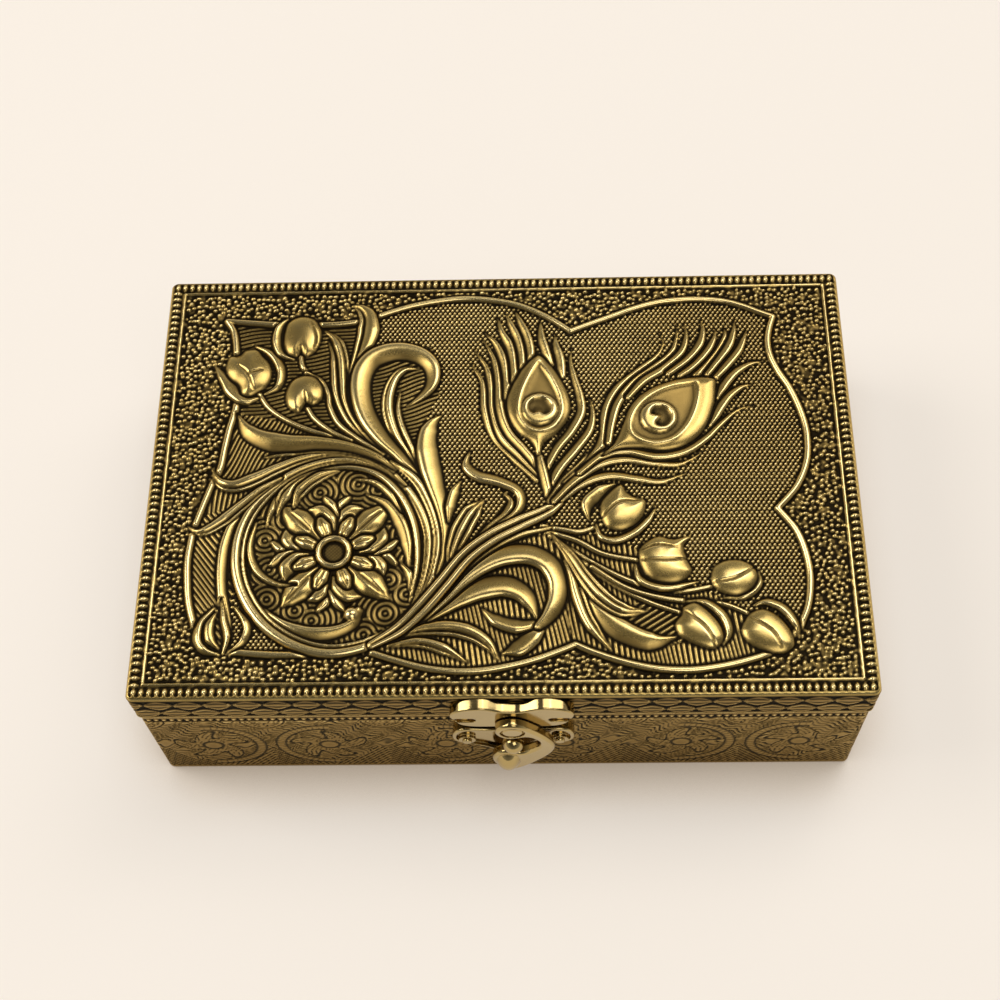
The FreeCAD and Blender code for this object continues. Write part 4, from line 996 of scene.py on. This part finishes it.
def body_depth(runs, levels, outline):
    """The body's sides: a beaded row over flat flowers, crescents and fans with chased lines."""
    along, length = side_places(runs, outline)
    count = np.where(length > 150, 6, 4)
    pitch = np.broadcast_to(length / count, (len(levels), len(runs)))
    u, z = np.meshgrid(along, levels)
    low, high = levels[0], levels[-1]
    middle = low + (high - low) * 0.43
    radius = (high - low) * 0.34
    du = (u / pitch % 1 - 0.5) * pitch
    way = np.where((u // pitch).astype(int) % 2, 1, -1)
    share = np.hypot(du, z - middle) / radius
    turn = np.arctan2(z - middle, du * way)
    wander = loose_lines(u, z)

    fan_drop, fan_inner, fan_outer, fan_edge = 3.0, 1.6, 4.4, 6.2
    fan_u = ((u / pitch + 0.5) % 1 - 0.5) * pitch
    fan_z = z - high + fan_drop
    fan_far = np.hypot(fan_u, fan_z)
    rays = line(np.sin(17 * np.arctan2(fan_z, fan_u)), 0.45)
    fan = np.where((fan_far > fan_inner) & (fan_far < fan_outer), 0.7 * rays, stripes(fan_far / 1.25, 0.2))
    chevrons = stripes((np.abs(fan_u) + 0.8 * z) / 1.35, 0.22)
    ground = np.where(z < middle - 2, np.maximum(chevrons, 0.3 * wander), wander)
    ground = np.where(fan_far < fan_edge, fan, ground)
    cut = np.where(share < 0.9, flower_lines(share, turn, u // pitch, wander), ground)
    crescent = (share > 0.86) & (share < 1.1) & (np.cos(turn) > -0.1)
    rise = 1 - np.where(crescent, crescent_lines(share, turn), cut)

    bead_level, bead_half, bead_pitch, bead_deep, foot = high - 2.7, 1.25, 1.9, 0.45, 0.9
    bead_u = (u / bead_pitch % 1 - 0.5) * bead_pitch
    beads = np.sqrt(np.clip(1 - (bead_u / 0.78) ** 2 - (z - bead_level) ** 2, 0, 1))
    rise = np.where(np.abs(z - bead_level) < bead_half, beads * (1 + bead_deep) - bead_deep, rise)
    rise = np.where((z < low + foot) | (z > bead_level + bead_half), 1, rise)
    return body_relief * (1 - np.clip(rise, -bead_deep, 1))


class Nodes:
    """A tree of shader nodes, built up by short calls."""

    def __init__(self, tree):
        self.tree = tree

    def plug(self, value, socket):
        """Gives an input a plain value or another node's output."""
        if hasattr(value, "is_linked"):
            self.tree.links.new(value, socket)
        else:
            socket.default_value = value

    def node(self, kind, inputs=(), **settings):
        """A node with its settings, and its inputs by name or number."""
        made = self.tree.nodes.new(kind)
        for key, value in settings.items():
            setattr(made, key, value)
        for key, value in dict(inputs).items():
            self.plug(value, made.inputs[key])
        return made

    def ramp(self, value, stops):
        """Colours or greys at places along a value."""
        made = self.node("ShaderNodeValToRGB", {"Fac": value})
        while len(made.color_ramp.elements) < len(stops):
            made.color_ramp.elements.new(1)
        for element, (place, colour) in zip(made.color_ramp.elements, stops):
            element.position = place
            element.color = (*colour, 1) if hasattr(colour, "__len__") else (colour, colour, colour, 1)
        return made.outputs["Color"]

    def math(self, operation, *values):
        """Arithmetic on two or three numbers."""
        return self.node("ShaderNodeMath", dict(enumerate(values)), operation=operation).outputs[0]


class Paint(Nodes):
    """A material with one principled shader."""

    def __init__(self, name):
        self.material = bpy.data.materials.new(name)
        self.material.use_nodes = True
        super().__init__(self.material.node_tree)
        self.shader = self.tree.nodes["Principled BSDF"]

    def set(self, name, value):
        """An input of the shader."""
        self.plug(value, self.shader.inputs[name])

    def noise(self, scale, detail=4.0, roughness=0.6, coordinates=None):
        """Cloudy variation in the piece's own space."""
        place = coordinates or self.node("ShaderNodeTexCoord").outputs["Object"]
        inputs = {"Vector": place, "Scale": scale, "Detail": detail, "Roughness": roughness}
        return self.node("ShaderNodeTexNoise", inputs).outputs["Fac"]

    def swing(self, value, amount):
        """A value's swing about its middle, scaled."""
        return self.math("MULTIPLY", self.math("SUBTRACT", value, 0.5), amount)

    def tinted(self, colour, tint):
        """One colour multiplied by another."""
        inputs = {0: 1.0, 6: colour, 7: tint}
        return self.node("ShaderNodeMix", inputs, data_type="RGBA", blend_type="MULTIPLY").outputs[2]

    def bump(self, height, strength, distance, **more):
        """Fine roughness of the surface."""
        inputs = {"Height": height, "Strength": strength, "Distance": distance, **more}
        self.set("Normal", self.node("ShaderNodeBump", inputs).outputs["Normal"])


# The lid's and the sides' brass, from the hollows' oxide to the rubbed crests, whose pale is also a painted
# highlight
lid_tones = [
    (0.10, (0.014, 0.010, 0.005)), (0.26, (0.120, 0.083, 0.028)), (0.45, (0.32, 0.222, 0.070)),
    (0.62, (0.56, 0.41, 0.14)), (0.85, (0.80, 0.64, 0.30)),
]
# A darker copy of the same brass for the upright faces: painted shade
shaded_side_tones = [
    (0.15, (0.016, 0.016, 0.016)), (0.36, (0.062, 0.047, 0.026)), (0.56, (0.225, 0.150, 0.057)),
    (0.75, (0.34, 0.235, 0.085)), (0.92, (0.85, 0.67, 0.31)),
]


def embossed_brass(name, stops, dulness):
    """Antiqued brass: near-black oxide in the hollows, mid gold on the slopes, rubbed pale on the crests with
    a painted highlight.
    """
    paint = Paint(name)
    cloud = paint.noise(75.0, 5.0, 0.65)
    # Rubbed wear on the crests, whose pale is also a painted highlight
    rubbed = paint.node("ShaderNodeAttribute", attribute_name="tone").outputs["Fac"]
    tone = paint.math("ADD", rubbed, paint.swing(cloud, 0.22))
    stain = paint.noise(16.0, 6.0, 0.6)
    tint = paint.ramp(stain, [(0.35, (0.84, 0.80, 0.74)), (0.65, (1.0, 1.0, 1.0))])
    paint.set("Base Color", paint.tinted(paint.ramp(tone, stops), tint))
    fine = paint.noise(900.0, 3.0, 0.7)
    worn = paint.ramp(tone, [(0.1, dulness + 0.22), (0.5, dulness), (0.9, dulness - 0.08)])
    paint.set("Roughness", paint.math("ADD", worn, paint.swing(fine, 0.08)))
    paint.set("Metallic", 1.0)
    paint.set("Specular Tint", (1.0, 0.87, 0.65, 1))
    paint.bump(fine, 0.05, 0.0002)
    return paint.material


def polished_gold(name, colour, dulness):
    """Cast and polished fittings: pale gold with faint casting ripples, and edges rounded in their shading.
    """
    paint = Paint(name)
    cloud = paint.noise(45.0, 4.0, 0.6)
    paint.set("Base Color", paint.ramp(cloud, [(0.3, [c * 0.86 for c in colour]), (0.7, colour)]))
    ripple = paint.noise(160.0, 3.0, 0.5)
    paint.set("Metallic", 1.0)
    paint.set("Roughness", paint.ramp(ripple, [(0.3, dulness), (0.7, dulness + 0.1)]))
    worn_edges = paint.node("ShaderNodeBevel", {"Radius": 0.0004}, samples=6).outputs["Normal"]
    paint.bump(ripple, 0.06, 0.0004, Normal=worn_edges)
    return paint.material


def sawn_board(name):
    """Plain sawn softwood with growth lines and pores."""
    paint = Paint(name)
    place = paint.node("ShaderNodeTexCoord").outputs["Object"]
    stretched = paint.node("ShaderNodeMapping", {"Vector": place, "Scale": (14.0, 260.0, 260.0)}).outputs[0]
    grain = paint.noise(1.0, 8.0, 0.62, stretched)
    tones = [(0.3, (0.30, 0.19, 0.10)), (0.55, (0.52, 0.37, 0.22)), (0.75, (0.62, 0.47, 0.30))]
    paint.set("Base Color", paint.ramp(grain, tones))
    paint.set("Roughness", paint.ramp(grain, [(0.3, 0.62), (0.7, 0.8)]))
    paint.bump(grain, 0.25, 0.0006)
    return paint.material


def pile_cloth(name, dark, light, sheen):
    """Short-pile cloth: mottled by the lie of its pile."""
    paint = Paint(name)
    lie = paint.noise(38.0, 5.0, 0.6)
    pile = paint.noise(2600.0, 2.0, 0.6)
    colour = paint.ramp(lie, [(0.3, dark), (0.72, light)])
    paint.set("Base Color", paint.tinted(colour, paint.ramp(pile, [(0.3, 0.7), (0.7, 1.0)])))
    paint.set("Roughness", paint.ramp(pile, [(0.3, 0.82), (0.7, 0.98)]))
    paint.set("Sheen Weight", sheen)
    paint.set("Sheen Roughness", 0.35)
    paint.set("Sheen Tint", (*light, 1))
    paint.bump(pile, 0.5, 0.0004)
    return paint.material


def dress_nodes():
    """Materials for the solids that stay as they are."""
    looks = {
        "board": sawn_board("sawn_board"),
        "clasp_metal": polished_gold("polished_clasp", (0.50, 0.375, 0.155), 0.07),
        "hinge_metal": polished_gold("hinge_brass", (0.60, 0.45, 0.20), 0.32),
    }
    for part in frame["record"]["subparts"]:
        look = looks.get(part["material_slot"])
        if look:
            mesh = frame["nodes"][part["node"]].data
            mesh.materials.clear()
            mesh.materials.append(look)


def cloth_panel(node, body, look):
    """A velvet pad in the room its plain solid holds: flat on its board, its face swelled by pressure."""
    low, high = box_mm(node)
    size = high - low
    thin = int(np.argmin(size))
    u_axis, v_axis = [axis for axis in range(3) if axis != thin]
    room = (board_low + board_high) / 2 if body == "lid" else np.array([0.0, 0.0, 20.0])
    faces_up = (room - (low + high) / 2)[thin] > 0 if node != "lid_pad" else False
    thick = size[thin]
    gap, rim_share, start_share, full_share = 2.4, 0.3, 0.62, 0.98
    count_u, count_v = (max(4, round(size[axis] / gap)) for axis in (u_axis, v_axis))
    us = np.linspace(low[u_axis], high[u_axis], count_u + 1)
    vs = np.linspace(low[v_axis], high[v_axis], count_v + 1)
    u, v = np.meshgrid(us, vs)
    rows, columns = u.shape
    index = np.arange(rows * columns).reshape(rows, columns)
    loop = grid_rim(index)
    rim = np.zeros(rows * columns, bool)
    rim[loop] = True
    deep = np.where(rim, rim_share * thick, start_share * thick)
    flat = np.stack([u.ravel(), v.ravel()], axis=-1)
    back = flat[loop]

    def placed(depth):
        """Points of the front and the back at their depths from the board."""
        points = np.empty((len(flat) + len(back), 3))
        points[:, [u_axis, v_axis]] = np.vstack([flat, back])
        depths = np.concatenate([depth, np.zeros(len(back))])
        points[:, thin] = low[thin] + depths if faces_up else high[thin] - depths
        return points

    behind = np.arange(len(flat), len(flat) + len(back))
    faces = grid_faces(index) + wall_faces(loop, behind)
    faces.append(behind[::-1].tolist())
    turned = faces_up if thin != 1 else not faces_up
    if not turned:
        faces = [face[::-1] for face in faces]
    piece = make_mesh(node + "_velvet", placed(deep), faces)
    swell = pressed_face(piece, rows, columns, thin, faces_up)
    share = np.clip(swell / swell.max(), 0, 1).ravel()
    final = np.where(rim, deep, deep + (full_share * thick - deep) * share)
    piece.data.vertices.foreach_set("co", (placed(final) * mm).ravel())
    piece.data.update()
    piece.data.materials.append(look)
    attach(piece, body)
    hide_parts(node)


def pressed_face(piece, rows, columns, thin, faces_up):
    """How far a pad's face swells when its wadding presses out, held at the rim."""
    count = rows * columns
    held = piece.vertex_groups.new(name="held")
    grid = np.arange(count).reshape(rows, columns)
    inner = set(grid[1:-1, 1:-1].ravel().tolist())
    held.add([i for i in range(len(piece.data.vertices)) if i not in inner], 1.0, "REPLACE")
    before = np.array([v.co[thin] for v in piece.data.vertices])[:count]
    cloth = piece.modifiers.new("swell", "CLOTH")
    settings = cloth.settings
    settings.quality = 6
    settings.mass = 0.2
    settings.tension_stiffness = 8.0
    settings.compression_stiffness = 8.0
    settings.bending_stiffness = 0.2
    settings.use_pressure = True
    settings.uniform_pressure_force = 4.0
    settings.vertex_group_mass = "held"
    settings.effector_weights.gravity = 0.0
    frames = 20
    cloth.point_cache.frame_start = 1
    cloth.point_cache.frame_end = frames
    scene = bpy.context.scene
    for number in range(1, frames + 1):
        scene.frame_set(number)
    shaped = piece.evaluated_get(bpy.context.evaluated_depsgraph_get())
    after = np.array([v.co[thin] for v in shaped.data.vertices])[:count]
    piece.modifiers.remove(cloth)
    piece.vertex_groups.remove(held)
    scene.frame_set(1)
    moved = (after - before) if faces_up else (before - after)
    return np.maximum(moved, 1e-7).reshape(rows, columns)


def base_felt(look):
    """The felt under the base, cut with round corners and glued flat."""
    low, high = box_mm("base_cloth")
    radius, turns = 3.0, 6
    ring = []
    for start, (sx, sy) in enumerate(((1, 1), (-1, 1), (-1, -1), (1, -1))):
        middle_x = (high[0] - radius) if sx > 0 else (low[0] + radius)
        middle_y = (high[1] - radius) if sy > 0 else (low[1] + radius)
        for step in range(turns + 1):
            ring.append(polar((middle_x, middle_y), radius, 90 * (start + step / turns)))
    count = len(ring)
    points = [(x, y, low[2]) for x, y in ring] + [(x, y, high[2]) for x, y in ring]
    around = list(range(count))
    faces = [around[::-1], [i + count for i in around]]
    faces += [[i, (i + 1) % count, (i + 1) % count + count, i + count] for i in around]
    piece = make_mesh("base_felt", points, faces, smooth=False)
    piece.data.materials.append(look)
    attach(piece, "box")
    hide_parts("base_cloth")


def lay_floor():
    """The pale floor: brighter to the eye than its light alone makes it, with a painted shadow that darkens
    its glow close to the box.
    """
    half, glow_share, shade_reach = 3.0, 0.58, 0.02
    mesh = bpy.data.meshes.new("floor")
    corners = [(-half, -half, 0), (half, -half, 0), (half, half, 0), (-half, half, 0)]
    mesh.from_pydata(corners, [], [(0, 1, 2, 3)])
    floor = bpy.data.objects.new("floor", mesh)
    bpy.context.collection.objects.link(floor)
    paint = Paint("pale_floor")
    cloud = paint.noise(1.2, 2.0, 0.5)
    paint.set("Base Color", paint.ramp(cloud, [(0.3, (0.93, 0.86, 0.78)), (0.7, (0.95, 0.88, 0.80))]))
    paint.set("Roughness", 0.8)
    # Painted shadow: ambient occlusion darkens the floor's glow close to the box
    open_sky = paint.node("ShaderNodeAmbientOcclusion", {"Distance": shade_reach}, samples=8).outputs["AO"]
    shades = [(0.45, (0.40, 0.315, 0.225)), (0.72, (0.76, 0.65, 0.53)), (0.93, (0.975, 0.895, 0.80))]
    glow = paint.node("ShaderNodeEmission", {"Color": paint.ramp(open_sky, shades), "Strength": 1.0})
    rays = paint.node("ShaderNodeLightPath").outputs
    mirrored = paint.math("MAXIMUM", rays["Is Glossy Ray"], rays["Is Transmission Ray"])
    seen = paint.math("MAXIMUM", rays["Is Camera Ray"], mirrored)
    share = paint.math("MULTIPLY", seen, glow_share)
    blend = paint.node("ShaderNodeMixShader", {0: share, 1: paint.shader.outputs[0], 2: glow.outputs[0]})
    paint.plug(blend.outputs[0], paint.tree.nodes["Material Output"].inputs["Surface"])
    mesh.materials.append(paint.material)


def light_studio():
    """A dim soft room, brighter low down and at the back, and four soft lamps."""
    levels = ((0.0, 0.95), (0.3, 0.6), (0.65, 0.22), (1.0, 0.14))
    room_strength, back_strength = 0.75, 0.45
    world = bpy.data.worlds.new("studio")
    world.use_nodes = True
    nodes = Nodes(world.node_tree)
    way = nodes.node("ShaderNodeTexCoord").outputs["Generated"]
    split = nodes.node("ShaderNodeSeparateXYZ", {0: way}).outputs
    sky = nodes.ramp(split["Z"], [(place, (level, level * 0.97, level * 0.93)) for place, level in levels])
    background = nodes.tree.nodes["Background"]
    nodes.plug(sky, background.inputs["Color"])
    strength = nodes.math("MULTIPLY_ADD", split["Y"], back_strength, room_strength)
    nodes.plug(strength, background.inputs["Strength"])
    bpy.context.scene.world = world

    # Each lamp's place and width in metres, and its power in watts
    lamps = [
        ("key", (-1.05, 0.15, 1.1), 0.8, 10.4),
        ("side", (0.7, 0.65, 1.2), 0.8, 5.6),
        ("fill", (0.35, -0.7, 1.4), 0.8, 5.0),
        ("sheen", (0.25, 0.6, 1.4), 0.6, 3.4),
    ]
    for name, place, width, power in lamps:
        lamp = bpy.data.lights.new(name, "AREA")
        lamp.size = width
        lamp.energy = power
        lamp.color = (1.0, 0.97, 0.93)
        holder = bpy.data.objects.new(name, lamp)
        holder.location = place
        holder.rotation_euler = (-Vector(place)).to_track_quat("-Z", "Y").to_euler()
        bpy.context.collection.objects.link(holder)


def camera():
    """The photograph's viewpoint: above and in front, a little to the right, with a slight roll."""
    place = Vector((11.5, -202.3, 415.6)) * mm
    aim = Vector((-1.97, 18.59, 0.0)) * mm
    roll = math.radians(-3.77)
    ahead = (aim - place).normalized()
    right = ahead.cross(Vector((0, 0, 1))).normalized()
    up = right.cross(ahead)
    side = math.cos(roll) * right + math.sin(roll) * up
    top = math.cos(roll) * up - math.sin(roll) * right
    data = bpy.data.cameras.new("camera")
    data.lens = 60.0
    data.sensor_width = 36.0
    data.clip_start = 0.01
    holder = bpy.data.objects.new("camera", data)
    turn = Matrix((side, top, -ahead)).transposed().to_4x4()
    holder.matrix_world = Matrix.Translation(place) @ turn
    bpy.context.collection.objects.link(holder)
    bpy.context.scene.camera = holder


def main():
    """Builds every piece."""
    bpy.context.scene.view_settings.view_transform = "Standard"
    camera()
    lay_floor()
    light_studio()
    lid_look = embossed_brass("embossed_lid", lid_tones, 0.28)
    # The sides' brass is the darker copy: painted shade on the upright faces
    shaded_side_look = embossed_brass("shaded_embossed_sides", shaded_side_tones, 0.36)
    lid = lid_top()
    lid.data.materials.append(lid_look)
    lid.data.materials.append(shaded_side_look)
    band_gap, wrap_gap = 0.3, 0.4
    band = side_strip("lid_band_relief", "lid_band", "lid", hinge_level + notch_reach, band_gap, band_depth)
    wrap = side_strip("body_wrap_relief", "body_wrap", "box", hinge_level - notch_reach, wrap_gap, body_depth)
    band.data.materials.append(shaded_side_look)
    wrap.data.materials.append(shaded_side_look)
    dress_nodes()
    velvet = pile_cloth("maroon_velvet", (0.10, 0.008, 0.016), (0.30, 0.03, 0.05), 0.5)
    for part in frame["record"]["subparts"]:
        if part["material_slot"] == "velvet":
            cloth_panel(part["node"], "lid" if part["node"].startswith("lid") else "box", velvet)
    base_felt(pile_cloth("base_felt", (0.018, 0.015, 0.015), (0.05, 0.043, 0.04), 0.2))


main()
